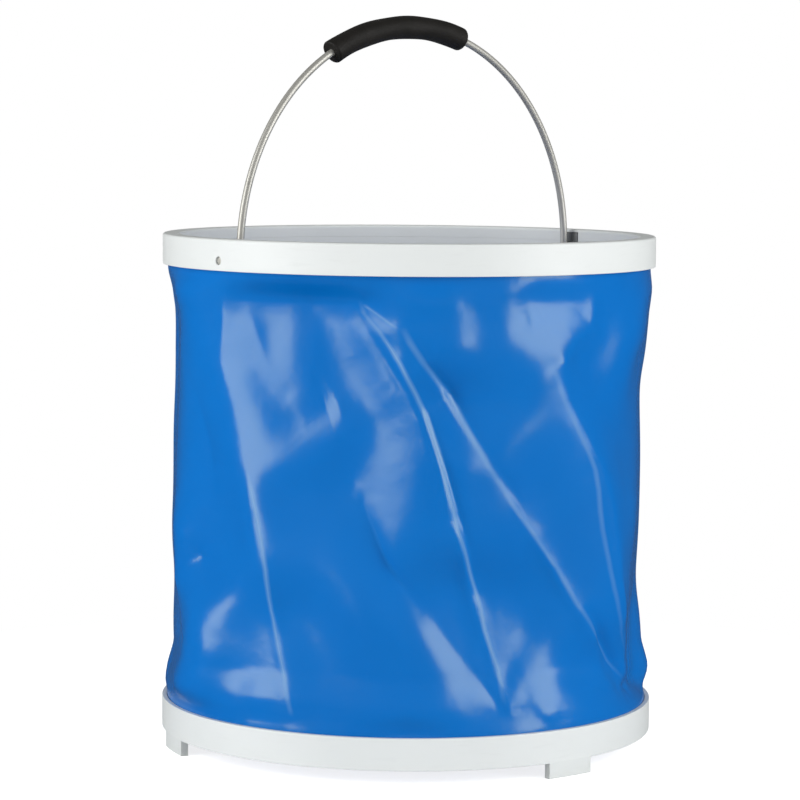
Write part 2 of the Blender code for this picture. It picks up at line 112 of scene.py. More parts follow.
# %% [markdown]
# ## Shader maths as plain expressions
# A material is a chain of nodes. One small class wraps a socket, so that `1 - mask * 0.3` in
# Python adds the Math nodes that work it out. A second class holds one material, and its
# `add` makes any other node: settings first, then the values or links of its sockets.

# %% A socket that Python can do maths with
class Signal:
    """The output of a node, with the operators that this file uses."""

    def __init__(self, finish, socket):
        self.finish = finish
        self.socket = socket

    def math(self, operation, *values):
        return self.finish.add("ShaderNodeMath", {"operation": operation},
                               dict(enumerate(values)))

    def __add__(self, other):
        return self.math("ADD", self, other)

    __radd__ = __add__

    def __sub__(self, other):
        return self.math("SUBTRACT", self, other)

    def __rsub__(self, other):
        return self.math("SUBTRACT", other, self)

    def __mul__(self, other):
        return self.math("MULTIPLY", self, other)

    __rmul__ = __mul__


print("signals know +, - and *")

# %% A material and its nodes
class Finish:
    """One material with a Principled shader, and the nodes that feed it."""

    def __init__(self, name, **constants):
        self.material = bpy.data.materials.new(name)
        self.material.use_nodes = True
        self.tree = self.material.node_tree
        self.shader = self.tree.nodes["Principled BSDF"]
        for socket_name, value in constants.items():
            self.shader.inputs[socket_name.replace("_", " ")].default_value = value

    def put(self, socket, value):
        if isinstance(value, Signal):
            self.tree.links.new(value.socket, socket)
        else:
            socket.default_value = value

    def add(self, kind, settings=None, sockets=None, output=0):
        """A node of this kind, and the signal of one of its outputs."""
        node = self.tree.nodes.new(kind)
        for setting, value in (settings or {}).items():
            if setting == "stops":
                elements = node.color_ramp.elements
                for place, _ in value[1:-1]:
                    elements.new(place)
                elements[0].position, elements[-1].position = value[0][0], value[-1][0]
                for element, (_, colour) in zip(elements, value):
                    element.color = (*colour, 1.0) if len(colour) == 3 else colour
            else:
                setattr(node, setting, value)
        for socket_name, value in (sockets or {}).items():
            self.put(node.inputs[socket_name], value)
        return Signal(self, node.outputs[output])

    def place(self, source="Object"):
        return self.add("ShaderNodeTexCoord", output=source)

    def noise(self, where, scale, detail=2.0, roughness=0.5):
        return self.add("ShaderNodeTexNoise", sockets={
            "Vector": where, "Scale": scale, "Detail": detail, "Roughness": roughness,
        })

    def stretched(self, where, scale):
        return self.add("ShaderNodeMapping", sockets={"Vector": where, "Scale": scale})

    def split(self, where):
        """The three parts of a vector."""
        node = self.add("ShaderNodeSeparateXYZ", sockets={"Vector": where})
        outputs = node.socket.node.outputs
        return [Signal(self, outputs[axis]) for axis in range(3)]

    def colours(self, factor, stops):
        return self.add("ShaderNodeValToRGB", {"stops": stops}, {"Fac": factor})

    def mixed(self, factor, first, second, blend="MIX"):
        """Two colours mixed by a factor."""
        node = self.tree.nodes.new("ShaderNodeMix")
        node.data_type = "RGBA"
        node.blend_type = blend
        self.put(node.inputs[0], factor)
        self.put(node.inputs[6], first)
        self.put(node.inputs[7], second)
        return Signal(self, node.outputs[2])

    def bumped(self, height, depth, after=None, strength=1.0):
        sockets = {"Height": height, "Distance": depth, "Strength": strength}
        if after is not None:
            sockets["Normal"] = after
        return self.add("ShaderNodeBump", sockets=sockets)

    def feed(self, **signals):
        for socket_name, value in signals.items():
            self.put(self.shader.inputs[socket_name.replace("_", " ")], value)
        return self.material


print("a finish adds nodes and feeds its shader")

# %% [markdown]
# ## Moulded white plastic
# The rings are injection moulded. Such a surface is satin, with a very fine grain from the
# mould, slow changes of gloss and a few faint scuffs. Noise on Object coordinates gives all of
# this without a picture.

# %% Ring plastic
MOULD_GRAIN, SCUFF_DEPTH = 0.03 * MM, 0.02 * MM
ring = Finish("ring_plastic", IOR=1.49)
here = ring.place()
slow = ring.noise(here, 9.0, 3.0)
grain = ring.noise(here, 1900.0, 2.0)
scuffs = ring.noise(ring.stretched(here, (60.0, 60.0, 420.0)), 1.0, 4.0, 0.6)
scuff_mask = ring.colours(scuffs, [(0.56, (0, 0, 0)), (0.72, (1, 1, 1))])
ring_colour = ring.colours(slow, [(0.30, (0.800, 0.832, 0.822)), (0.70, (0.835, 0.865, 0.855))])
ring_colour = ring.mixed(scuff_mask * 0.10, ring_colour, (0.62, 0.64, 0.63, 1.0))
ring_plastic = ring.feed(
    Base_Color=ring_colour,
    Roughness=0.39 + slow * 0.06 + scuff_mask * 0.10,
    Normal=ring.bumped(grain, MOULD_GRAIN, ring.bumped(scuffs, SCUFF_DEPTH)),
)
print("made", ring_plastic.name)

# %% [markdown]
# ## PVC sheet
# The wall is polyester cloth coated with PVC on both sides. The coating is a glossy blue film,
# through which the woven cloth shows as a very fine grid. Handling leaves small soft wrinkles.
# The grid has to follow the sheet, so it reads the piece's own UV map, which is in metres.
# The crests of the main creases are painted a paler blue. This is a painted highlight that stands in for
# the thin bright lines the crests catch, and the crests are also made rougher, as a worn crest is dull.
# The places on these pale lines were picked in the photograph, and a separate script turned them into
# places on the wall. A colour ramp over the height holds each line's azimuth in its colour and the strength
# of its painted highlight and wear in its alpha. The unseen side has the lines upside down, as its folds
# are.

# %% Where the crease crests get painted highlight and wear
# half width in mm, then azimuth in degrees, height in mm and how strong the painted highlight and wear are,
# from 0 to 1
CREST_HIGHLIGHT_AND_WEAR = {
    "left ridge": (2.2, [(229.7, 152.8, 0), (231.2, 144, 0.8), (232.6, 134.2, 0.9), (233.9, 124.4, 0.9),
        (235.1, 114.6, 0.9), (235.9, 104.6, 0.9), (236.2, 94.4, 0.85), (236.4, 84.1, 0.9),
        (237.4, 74.1, 0.9), (238.7, 64.3, 0.8), (240.1, 54.5, 0.8), (241.4, 44.9, 0.7),
        (242.7, 35.2, 0.4), (243.1, 31.7, 0)]),
    "middle ridge": (2.2, [(258.2, 241, 0), (259.2, 234.3, 0.6), (263.2, 225.6, 0.75),
        (266, 217.4, 0.85), (268.1, 210.3, 0.9), (269.9, 202.6, 1), (271.5, 195.7, 1), (273.3, 186.7, 1),
        (274.8, 178.3, 1), (276.3, 168.8, 1), (277.5, 158.6, 1), (278.4, 148.7, 1), (279.8, 138.6, 1),
        (280.9, 128.6, 1), (282.6, 118.3, 1), (284.5, 107.4, 1), (286.6, 96.6, 0.95),
        (288.2, 86.4, 0.95), (289.1, 76.3, 0.9), (290.8, 66.1, 0.9), (292.8, 55.8, 0.85),
        (293, 46.1, 0.5), (293.4, 38.9, 0)]),
    "pinch at the rim": (2.6, [(259.2, 239.1, 0), (259.9, 237.7, 0.8), (262, 235.1, 0.8),
        (264.4, 231.9, 0.9), (266.3, 229.1, 0.9), (267.5, 227.3, 0)]),
    "long valley": (3, [(268.6, 228.6, 0), (270.4, 220.3, 0.7), (273.1, 211.1, 0.6), (277.2, 199.6, 0.55),
        (281, 188.8, 0.75), (283.9, 175.3, 0.65), (288.4, 158.4, 0.55), (294.6, 139.1, 0.38),
        (301.8, 120.5, 0.42), (307.7, 105.5, 0.58), (313.6, 86.1, 0.5), (320.2, 69.5, 0.45),
        (329.5, 52.5, 0.4), (338, 39.5, 0)]),
    "right ridge": (2.6, [(303.1, 210.5, 0), (304.3, 204.4, 0.4), (306, 194.6, 0.45), (308.3, 185.4, 0.4),
        (311, 175.2, 0.6), (314, 164.8, 0.55), (316.4, 154.6, 0.55), (317.7, 144.1, 0.55),
        (318.4, 133.8, 0.5), (319.4, 123.4, 0.45), (320.8, 113, 0.45), (322.3, 102.4, 0.45),
        (324.2, 91.6, 0.45), (326.8, 80.5, 0.35), (331, 67.2, 0.2), (336, 55.4, 0)]),
}
print(len(CREST_HIGHLIGHT_AND_WEAR), "worn creases")


def crest_highlight_and_wear_along(finish, turn, height, half_width, path):
    """How strong the painted highlight and wear are near one crease, from its place as a share of a turn and
    its height.
    """
    stops = [(z * MM / RIM_BOTTOM, (azimuth / 360.0,) * 3 + (crest_highlight_and_wear,))
             for azimuth, z, crest_highlight_and_wear in reversed(path)]
    line = finish.colours(height * (1.0 / RIM_BOTTOM), stops)
    crest_highlight_and_wear = Signal(finish, line.socket.node.outputs["Alpha"])
    away = turn - line
    reach = half_width * MM / (math.tau * WALL_RADIUS)
    return finish.add("ShaderNodeMapRange", {"interpolation_type": "SMOOTHSTEP"}, {
        "Value": away.math("ABSOLUTE", away), "From Max": reach, "To Min": crest_highlight_and_wear, "To Max": 0.0,
    })


# %% PVC sheet
WEAVE_PITCH = 1.1 * MM
WEAVE_DEPTH, LEATHER_DEPTH, WRINKLE_DEPTH = 0.005 * MM, 0.010 * MM, 0.30 * MM
# the paler blue painted along the crease crests is a painted highlight
CREST_HIGHLIGHT_BLUE = (0.095, 0.285, 0.64, 1.0)
pvc = Finish("pvc_sheet", IOR=1.53, Specular_Tint=(0.95, 1.0, 0.55, 1.0))
cloth = pvc.place("UV")
along, up, _ = pvc.split(cloth)
turns = math.tau / WEAVE_PITCH
weave = along.math("SINE", along * turns) * up.math("SINE", up * turns)
here = pvc.place()
wrinkles = pvc.noise(here, 42.0, 4.0, 0.55)
film = pvc.noise(here, 14.0, 3.0)
leather = pvc.noise(here, 900.0, 2.0)
pvc_colour = pvc.colours(film, [(0.30, (0.0, 0.160, 0.565)), (0.70, (0.0, 0.175, 0.605))])
turn = along * (1.0 / (math.tau * WALL_RADIUS))
unseen = turn.math("LESS_THAN", turn, 0.5)
turn = turn + unseen * (1.0 - turn * 2.0)
level = up + unseen * (BASE_TOP + RIM_BOTTOM - up * 2.0)
# mask of painted highlight and wear along the crease crests: it pales the blue and raises the roughness
crest_highlight_and_wear = turn * 0.0
for half_width, path in CREST_HIGHLIGHT_AND_WEAR.values():
    crest_highlight_and_wear = crest_highlight_and_wear.math("MAXIMUM", crest_highlight_and_wear, crest_highlight_and_wear_along(pvc, turn, level, half_width, path))
pvc_sheet = pvc.feed(
    Base_Color=pvc.mixed(crest_highlight_and_wear, pvc_colour, CREST_HIGHLIGHT_BLUE),
    Roughness=0.155 + film * 0.05 + crest_highlight_and_wear * 0.12,
    Normal=pvc.bumped(weave, WEAVE_DEPTH,
                      pvc.bumped(leather, LEATHER_DEPTH, pvc.bumped(wrinkles, WRINKLE_DEPTH))),
)
print("made", pvc_sheet.name)

# %% [markdown]
# ## Clip plastic, steel wire and foam
# The clips are grey nylon. The bail is drawn stainless wire: its fine lines run along the wire,
# so the pattern reads a UV map whose first axis is the length. The grip is soft closed-cell
# foam, with small cells that show as a fine, dull grain.

# %% Clip plastic
nylon = Finish("clip_plastic", IOR=1.50)
here = nylon.place()
grain = nylon.noise(here, 1500.0, 2.0)
cloud = nylon.noise(here, 160.0, 2.0)
clip_plastic = nylon.feed(
    Base_Color=nylon.colours(cloud, [(0.3, (0.120, 0.128, 0.130)), (0.7, (0.150, 0.158, 0.160))]),
    Roughness=0.42 + grain * 0.10,
    Normal=nylon.bumped(grain, MOULD_GRAIN),
)
print("made", clip_plastic.name)

# %% Bail wire finish
DRAWN_DEPTH = 0.02 * MM
steel = Finish("bail_wire", Metallic=0.60)
drawn = steel.noise(steel.stretched(steel.place("UV"), (40.0, 2600.0, 1.0)), 1.0, 3.0)
cloud = steel.noise(steel.place(), 55.0, 3.0)
bail_steel = steel.feed(
    Base_Color=steel.colours(cloud, [(0.3, (0.60, 0.59, 0.54)), (0.7, (0.68, 0.67, 0.62))]),
    Roughness=0.36 + drawn * 0.18,
    Normal=steel.bumped(drawn, DRAWN_DEPTH),
)
print("made", bail_steel.name)

# %% Grip foam
CELL_DEPTH, DENT_DEPTH = 0.10 * MM, 0.25 * MM
foam = Finish("grip_foam", IOR=1.38, Sheen_Weight=0.03, Sheen_Roughness=0.5)
here = foam.place()
cells = foam.add("ShaderNodeTexVoronoi", {"feature": "F1"}, {"Vector": here, "Scale": 1300.0})
dents = foam.noise(here, 120.0, 3.0)
grip_foam = foam.feed(
    Base_Color=foam.colours(dents, [(0.3, (0.008, 0.007, 0.005)), (0.7, (0.013, 0.011, 0.009))]),
    Roughness=0.50 + cells * 0.20,
    Normal=foam.bumped(cells, CELL_DEPTH, foam.bumped(dents, DENT_DEPTH)),
)
print("made", grip_foam.name)

# %% Hem cord
STRAND_DEPTH = 0.15 * MM
fibre = Finish("hem_cord", Sheen_Weight=0.3)
strands = fibre.noise(fibre.stretched(fibre.place(), (700.0, 700.0, 1800.0)), 1.0, 3.0)
cord_fibre = fibre.feed(
    Base_Color=fibre.colours(strands, [(0.3, (0.50, 0.50, 0.47)), (0.7, (0.66, 0.66, 0.63))]),
    Roughness=0.75 + strands * 0.15,
    Normal=fibre.bumped(strands, STRAND_DEPTH),
)
print("made", cord_fibre.name)

# %% [markdown]
# ## Rings turned on the Z axis
# Each ring has one section all the way round, so it is spun: the outline of the section goes
# once round the Z axis in 256 steps. The spin leaves sharp corners, and a moulded part never has
# those, so the edge loops that show are bevelled. A pair of extra loops beside each bevel keeps
# the flat faces flat when they are shaded smooth.

# %% Helpers for turned pieces
RING_STEPS = 256
BEVEL_STEPS = 4
MERGE = 0.01 * MM
SMOOTH_LIMIT = math.radians(35.0)


def new_piece(name, bm, material):
    """Turn a bmesh into an object with smooth shading and one material."""
    mesh = bpy.data.meshes.new(name)
    bm.to_mesh(mesh)
    bm.free()
    mesh.shade_smooth()
    mesh.set_sharp_from_angle(angle=SMOOTH_LIMIT)
    mesh.materials.append(material)
    piece = bpy.data.objects.new(name, mesh)
    bpy.context.scene.collection.objects.link(piece)
    return piece


def with_holding_points(corners):
    """The outline with a point on each side of every corner that gets a bevel."""
    outline = []
    for number, (radius, height, bevel) in enumerate(corners):
        corner = Vector((radius, height))
        before = Vector(corners[number - 1][:2]) - corner
        after = Vector(corners[(number + 1) % len(corners)][:2]) - corner
        if bevel:
            outline.append(corner + before.normalized() * bevel * 1.6)
        outline.append(corner)
        if bevel:
            outline.append(corner + after.normalized() * bevel * 1.6)
    return outline


def circle_edges(bm, radius, height):
    """The edges of the loop at this radius and height."""
    def on_circle(vert):
        return (abs(math.hypot(vert.co.x, vert.co.y) - radius) < MERGE
                and abs(vert.co.z - height) < MERGE)
    return [edge for edge in bm.edges if all(on_circle(vert) for vert in edge.verts)]


def spun_ring(corners):
    """A closed ring whose section has these (radius, height, bevel) corners."""
    bm = bmesh.new()
    verts = [bm.verts.new((place.x, 0.0, place.y)) for place in with_holding_points(corners)]
    edges = [bm.edges.new(pair) for pair in zip(verts, verts[1:] + verts[:1])]
    bmesh.ops.spin(bm, geom=verts + edges, axis=(0, 0, 1), angle=math.tau,
                   steps=RING_STEPS, use_merge=True)
    bmesh.ops.remove_doubles(bm, verts=bm.verts, dist=MERGE)
    bmesh.ops.recalc_face_normals(bm, faces=bm.faces)
    for radius, height, bevel in corners:
        if bevel:
            bmesh.ops.bevel(bm, geom=circle_edges(bm, radius, height), offset=bevel,
                            segments=BEVEL_STEPS, profile=0.5, affect="EDGES", material=-1)
    return bm


def cut_away(piece, cutter_bms):
    """Take the shapes in these bmeshes away from a piece, and keep the result as its mesh."""
    for bm in cutter_bms:
        cutter = new_piece("cutter", bm, piece.data.materials[0])
        boolean = piece.modifiers.new("cut", "BOOLEAN")
        boolean.object = cutter
        bpy.context.view_layer.update()
        evaluated = piece.evaluated_get(bpy.context.evaluated_depsgraph_get())
        mesh = bpy.data.meshes.new_from_object(evaluated)
        piece.modifiers.clear()
        piece.data = mesh
        bpy.data.objects.remove(cutter)
    piece.data.name = piece.name


print("a ring has", RING_STEPS, "steps")

# %% [markdown]
# ## Where the bail turns
# The bail's ends lie on one line through the rim, turned 42.4 degrees from the X axis. The
# wire passes through both walls of the rim there, and the clips sit in shallow seats in its bore.

# %% The bail's hinge line
BAIL_AZIMUTH = math.radians(42.4)
clip_low, clip_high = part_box("bail_clip_right")
BAIL_AXIS_DROP = 10.9 * MM
BAIL_AXIS_HEIGHT = RIM_TOP - BAIL_AXIS_DROP
WIRE_DIAMETER = 3.8 * MM
WIRE_HOLE = 4.4 * MM
BUSH_HOLE = 7.6 * MM
CUT_OVERRUN = 10.0 * MM
CLIP_WIDTH = 11.0 * MM
CLIP_DEPTH = 0.5 * MM
CLIP_BOTTOM, CLIP_TOP = clip_low.z, clip_high.z
HOLE_SIDES = 48


def hinge_place(side=0.0):
    """The frame whose X axis is the hinge line, for one side of the rim or the other."""
    lift = Matrix.Translation((0.0, 0.0, BAIL_AXIS_HEIGHT))
    return lift @ Matrix.Rotation(BAIL_AZIMUTH + side, 4, "Z")


def drill(diameter, start, end, side=0.0):
    """A rod along the hinge line, to take away."""
    bm = bmesh.new()
    middle = Matrix.Translation(((start + end) / 2, 0.0, 0.0)) @ Matrix.Rotation(math.pi / 2, 4, "Y")
    bmesh.ops.create_cone(bm, cap_ends=True, segments=HOLE_SIDES, radius1=diameter / 2,
                          radius2=diameter / 2, depth=end - start,
                          matrix=hinge_place(side) @ middle)
    return bm


def clip_seat(side):
    """The block that makes room for one clip's plate in the rim's bore."""
    inner = BORE_RADIUS - CUT_OVERRUN
    outer = BORE_RADIUS + CLIP_DEPTH + FIT_GAP
    low = Vector((inner, -CLIP_WIDTH / 2 - FIT_GAP, CLIP_BOTTOM - BAIL_AXIS_HEIGHT - FIT_GAP))
    high = Vector((outer, CLIP_WIDTH / 2 + FIT_GAP, CLIP_TOP - BAIL_AXIS_HEIGHT + FIT_GAP))
    bm = bmesh.new()
    box = Matrix.LocRotScale((low + high) / 2, None, high - low)
    bmesh.ops.create_cube(bm, size=1.0, matrix=hinge_place(side) @ box)
    return bm


print("hinge line at height", round(BAIL_AXIS_HEIGHT, 4))

# %% [markdown]
# ## Rim
# The rim is two rings. The upper one is a channel that covers the wall's hem, with the tall
# outer band that the photograph shows. The lower one is pressed in from below, inside the wall.

# %% Rim rings
EDGE = 1.2 * MM
FINE_EDGE = 0.4 * MM
RIM_SEAM = FIT_GAP * 0.8
BAND_INNER = RING_RADIUS - BAND_WALL
rim_outer = new_piece("rim_band", spun_ring([
    (RING_RADIUS, RIM_TOP, EDGE),
    (RING_RADIUS, RIM_BOTTOM, FINE_EDGE),
    (BAND_INNER, RIM_BOTTOM, FINE_EDGE),
    (BAND_INNER, RIM_TOP - WEB_THICKNESS, 0.0),
    (CHANNEL_FACE, RIM_TOP - WEB_THICKNESS, 0.0),
    (CHANNEL_FACE, RIM_CHANNEL_END - RIM_SEAM, 0.0),
    (BORE_RADIUS, RIM_CHANNEL_END - RIM_SEAM, 0.0),
    (BORE_RADIUS, RIM_TOP, EDGE),
]), ring_plastic)
rim_clamp = new_piece("rim_inner_ring", spun_ring([
    (rim_clamp_high.x, rim_clamp_high.z, 0.0),
    (rim_clamp_high.x, RIM_BOTTOM, FINE_EDGE),
    (BORE_RADIUS, RIM_BOTTOM, FINE_EDGE),
    (BORE_RADIUS, rim_clamp_high.z, 0.0),
]), ring_plastic)
reach = RING_RADIUS + CUT_OVERRUN
cut_away(rim_outer, [clip_seat(0.0), clip_seat(math.pi), drill(WIRE_HOLE, -reach, reach)])
cut_away(rim_clamp, [clip_seat(0.0), clip_seat(math.pi), drill(BUSH_HOLE, -reach, reach)])
for piece, node in ((rim_outer, "rim_outer_ring"), (rim_clamp, "rim_clamp_ring")):
    piece.data.shade_smooth()
    piece.data.set_sharp_from_angle(angle=SMOOTH_LIMIT)
    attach(piece, "rim")
    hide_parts(node)
    print(piece.name, len(piece.data.polygons), "faces")

# %% [markdown]
# ## Base ring and its feet
# The base ring is the same kind of channel, upside down. Its three feet go on from the outer
# band, so they are pulled out of the spun ring: two cuts mark the ends of a foot, and the
# faces between them are extruded down to the ground. The operator leaves the old faces inside the
# foot, so they are deleted.

# %% Base rings
FOOT_WALL = 4.0 * MM
FOOT_ANGLE = math.radians(12.5)
FOOT_AZIMUTHS = [math.radians(angle) for angle in (75.0, 200.3, 310.1)]
FOOT_CUT_REACH = math.radians(20.0)
FACING_DOWN = -0.2
WEB_RELIEF = 0.6 * MM
WEB_UNDERSIDE = FOOT_HEIGHT + WEB_RELIEF
foot_inner = RING_RADIUS - FOOT_WALL
bm = spun_ring([
    (RING_RADIUS, BASE_TOP, FINE_EDGE),
    (RING_RADIUS, FOOT_HEIGHT, FINE_EDGE),
    (foot_inner, FOOT_HEIGHT, 0.0),
    (foot_inner, WEB_UNDERSIDE, 0.0),
    (BORE_RADIUS, WEB_UNDERSIDE, FINE_EDGE),
    (BORE_RADIUS, BASE_CHANNEL_END, 0.0),
    (CHANNEL_FACE, BASE_CHANNEL_END, 0.0),
    (CHANNEL_FACE, WEB_UNDERSIDE + WEB_THICKNESS, 0.0),
    (BAND_INNER, WEB_UNDERSIDE + WEB_THICKNESS, 0.0),
    (BAND_INNER, BASE_TOP, 0.0),
])


def azimuth_of(place):
    return math.atan2(place.y, place.x) % math.tau


def near(face, azimuth, reach):
    """Whether a face's middle is within an angle of an azimuth."""
    away = (azimuth_of(face.calc_center_median()) - azimuth + math.pi) % math.tau - math.pi
    return abs(away) < reach


for azimuth in FOOT_AZIMUTHS:
    for end in (-FOOT_ANGLE / 2, FOOT_ANGLE / 2):
        side = azimuth + end
        faces = [face for face in bm.faces if near(face, side, FOOT_CUT_REACH)]
        edges = dict.fromkeys(edge for face in faces for edge in face.edges)
        verts = dict.fromkeys(vert for face in faces for vert in face.verts)
        bmesh.ops.bisect_plane(bm, geom=[*faces, *edges, *verts], dist=MERGE, plane_co=(0, 0, 0),
                               plane_no=(-math.sin(side), math.cos(side), 0.0))
    sole = [face for face in bm.faces
            if near(face, azimuth, FOOT_ANGLE / 2) and face.normal.z < FACING_DOWN
            and face.calc_center_median().z < FOOT_HEIGHT + FINE_EDGE
            and face.calc_center_median().to_2d().length > foot_inner]
    grown = bmesh.ops.extrude_face_region(bm, geom=sole)["geom"]
    bmesh.ops.delete(bm, geom=sole, context="FACES")
    foot_verts = [item for item in grown if isinstance(item, bmesh.types.BMVert)]
    bmesh.ops.translate(bm, verts=foot_verts, vec=(0.0, 0.0, -FOOT_HEIGHT))
bmesh.ops.recalc_face_normals(bm, faces=bm.faces)
base_outer = new_piece("base_band", bm, ring_plastic)

base_clamp = new_piece("base_inner_ring", spun_ring([
    (base_clamp_high.x, BASE_TOP, FINE_EDGE),
    (base_clamp_high.x, base_clamp_low.z, 0.0),
    (BORE_RADIUS, base_clamp_low.z, FINE_EDGE),
    (BORE_RADIUS, BASE_TOP, EDGE),
]), ring_plastic)
for piece, node in ((base_outer, "base_outer_ring"), (base_clamp, "base_clamp_ring")):
    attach(piece, "base")
    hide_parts(node)
    print(piece.name, len(piece.data.polygons), "faces")

# %% [markdown]
# ## Cords in the hems
# A round cord in each hem keeps the sheet from pulling out of its channel. It is a ring with a
# round section, so a small circle is spun round the Z axis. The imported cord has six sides, and
# such a section is as tall as its radius times the square root of 3.

# %% Hem cords
CORD_SIDES = 12
for body, node in (("rim", "rim_hem_cord"), ("base", "base_hem_cord")):
    cord_low, cord_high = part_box(node)
    cord_radius = (cord_high.z - cord_low.z) / math.sqrt(3.0)
    centre = Vector((cord_high.x - cord_radius, 0.0, (cord_low.z + cord_high.z) / 2))
    bm = bmesh.new()
    upright = Matrix.Translation(centre) @ Matrix.Rotation(math.pi / 2, 4, "X")
    bmesh.ops.create_circle(bm, segments=CORD_SIDES, radius=cord_radius, matrix=upright)
    bmesh.ops.spin(bm, geom=bm.verts[:] + bm.edges[:], axis=(0, 0, 1), angle=math.tau,
                   steps=RING_STEPS, use_merge=True)
    bmesh.ops.recalc_face_normals(bm, faces=bm.faces)
    piece = new_piece(node.replace("_cord", "_line"), bm, cord_fibre)
    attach(piece, body)
    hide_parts(node)
    print(piece.name, len(piece.data.polygons), "faces")

# %% [markdown]
# ## Sheets carry their own map
# The weave of a coated cloth runs round and up the bucket. Each sheet gets a UV map in metres:
# the first number is the way round, the second the way up, or out from the middle of the floor.

# %% Helper for the sheets' UV maps
def map_sheet(piece, flat_place):
    """Give each corner of each face the place that its point has on the flat sheet."""
    mesh = piece.data
    uv = mesh.uv_layers.new(name="flat_sheet")
    for loop in mesh.loops:
        uv.data[loop.index].uv = flat_place(loop.vertex_index)


def thickened(piece, thickness):
    """Give a sheet its real thickness, half to each side."""
    solidify = piece.modifiers.new("thickness", "SOLIDIFY")
    solidify.thickness = thickness
    solidify.offset = 0.0
    return solidify


print("sheets are", FABRIC, "m thick")

# %% [markdown]
# ## Floor
# The floor is a disc of the same PVC. Its edge is turned up inside the wall and welded to it.
# It is held all round, and use has left low, soft waves in it.

# %% Floor sheet
FLOOR_LEVEL = floor_low.z + FABRIC / 2
FLOOR_RADIUS = floor_high.x - FABRIC / 2
SKIRT_TOP = floor_high.z
FLOOR_RINGS = 40
FLOOR_WAVE = 0.7 * MM
FLOOR_FLAT_EDGE = 8.0 * MM
FLOOR_STEPS = 128
TURN_UP = 2.0 * MM
TURN_MIDDLE = 0.6 * MM
bm = bmesh.new()
radii = [(FLOOR_RADIUS - TURN_UP) * (step / FLOOR_RINGS) for step in range(FLOOR_RINGS + 1)]
outline = [bm.verts.new((radius, 0.0, FLOOR_LEVEL)) for radius in radii]
outline.append(bm.verts.new((FLOOR_RADIUS - TURN_MIDDLE, 0.0, FLOOR_LEVEL + TURN_MIDDLE)))
outline.append(bm.verts.new((FLOOR_RADIUS, 0.0, FLOOR_LEVEL + TURN_UP)))
outline.append(bm.verts.new((FLOOR_RADIUS, 0.0, SKIRT_TOP)))
edges = [bm.edges.new(pair) for pair in zip(outline, outline[1:])]
bmesh.ops.spin(bm, geom=outline + edges, axis=(0, 0, 1), angle=math.tau, steps=FLOOR_STEPS,
               use_merge=True)
bmesh.ops.remove_doubles(bm, verts=bm.verts, dist=MERGE)
bmesh.ops.recalc_face_normals(bm, faces=bm.faces)
for vert in bm.verts:
    radius = vert.co.to_2d().length
    azimuth = azimuth_of(vert.co)
    share = min(radius / (FLOOR_RADIUS - FLOOR_FLAT_EDGE), 1.0)
    wave = math.sin(3 * azimuth + 9 * share) * math.cos(2 * azimuth - 1.0)
    vert.co.z += FLOOR_WAVE * wave * share * (1 - share) * 4
floor_piece = new_piece("floor", bm, pvc_sheet)
map_sheet(floor_piece, lambda index: floor_piece.data.vertices[index].co.to_2d())
thickened(floor_piece, FABRIC)
flat_width = 2 * (FLOOR_RADIUS + SKIRT_TOP - FLOOR_LEVEL)
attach(floor_piece, "base")
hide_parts("floor_sheet")
math.pi / 4 * flat_width ** 2
print("floor cut from a disc", round(flat_width, 4), "m across")

# %% [markdown]
# ## Folds of the wall
# The wall has been folded flat many times, so it keeps creases that lean round the bucket, and
# the sheet between them is crumpled. A cloth simulation would find its own folds and not these
# ones, so the shape of the photographed side is written down in two parts. The first is the soft
# form: how far the sheet stands out, in millimetres, at a grid of places. Each row goes from the
# base ring up to the rim at one azimuth, and a smooth surface follows the grid. These depths
# weren't chosen by hand: a separate fitting script moved them until the light and dark of the
# sheet came close to the photograph's.

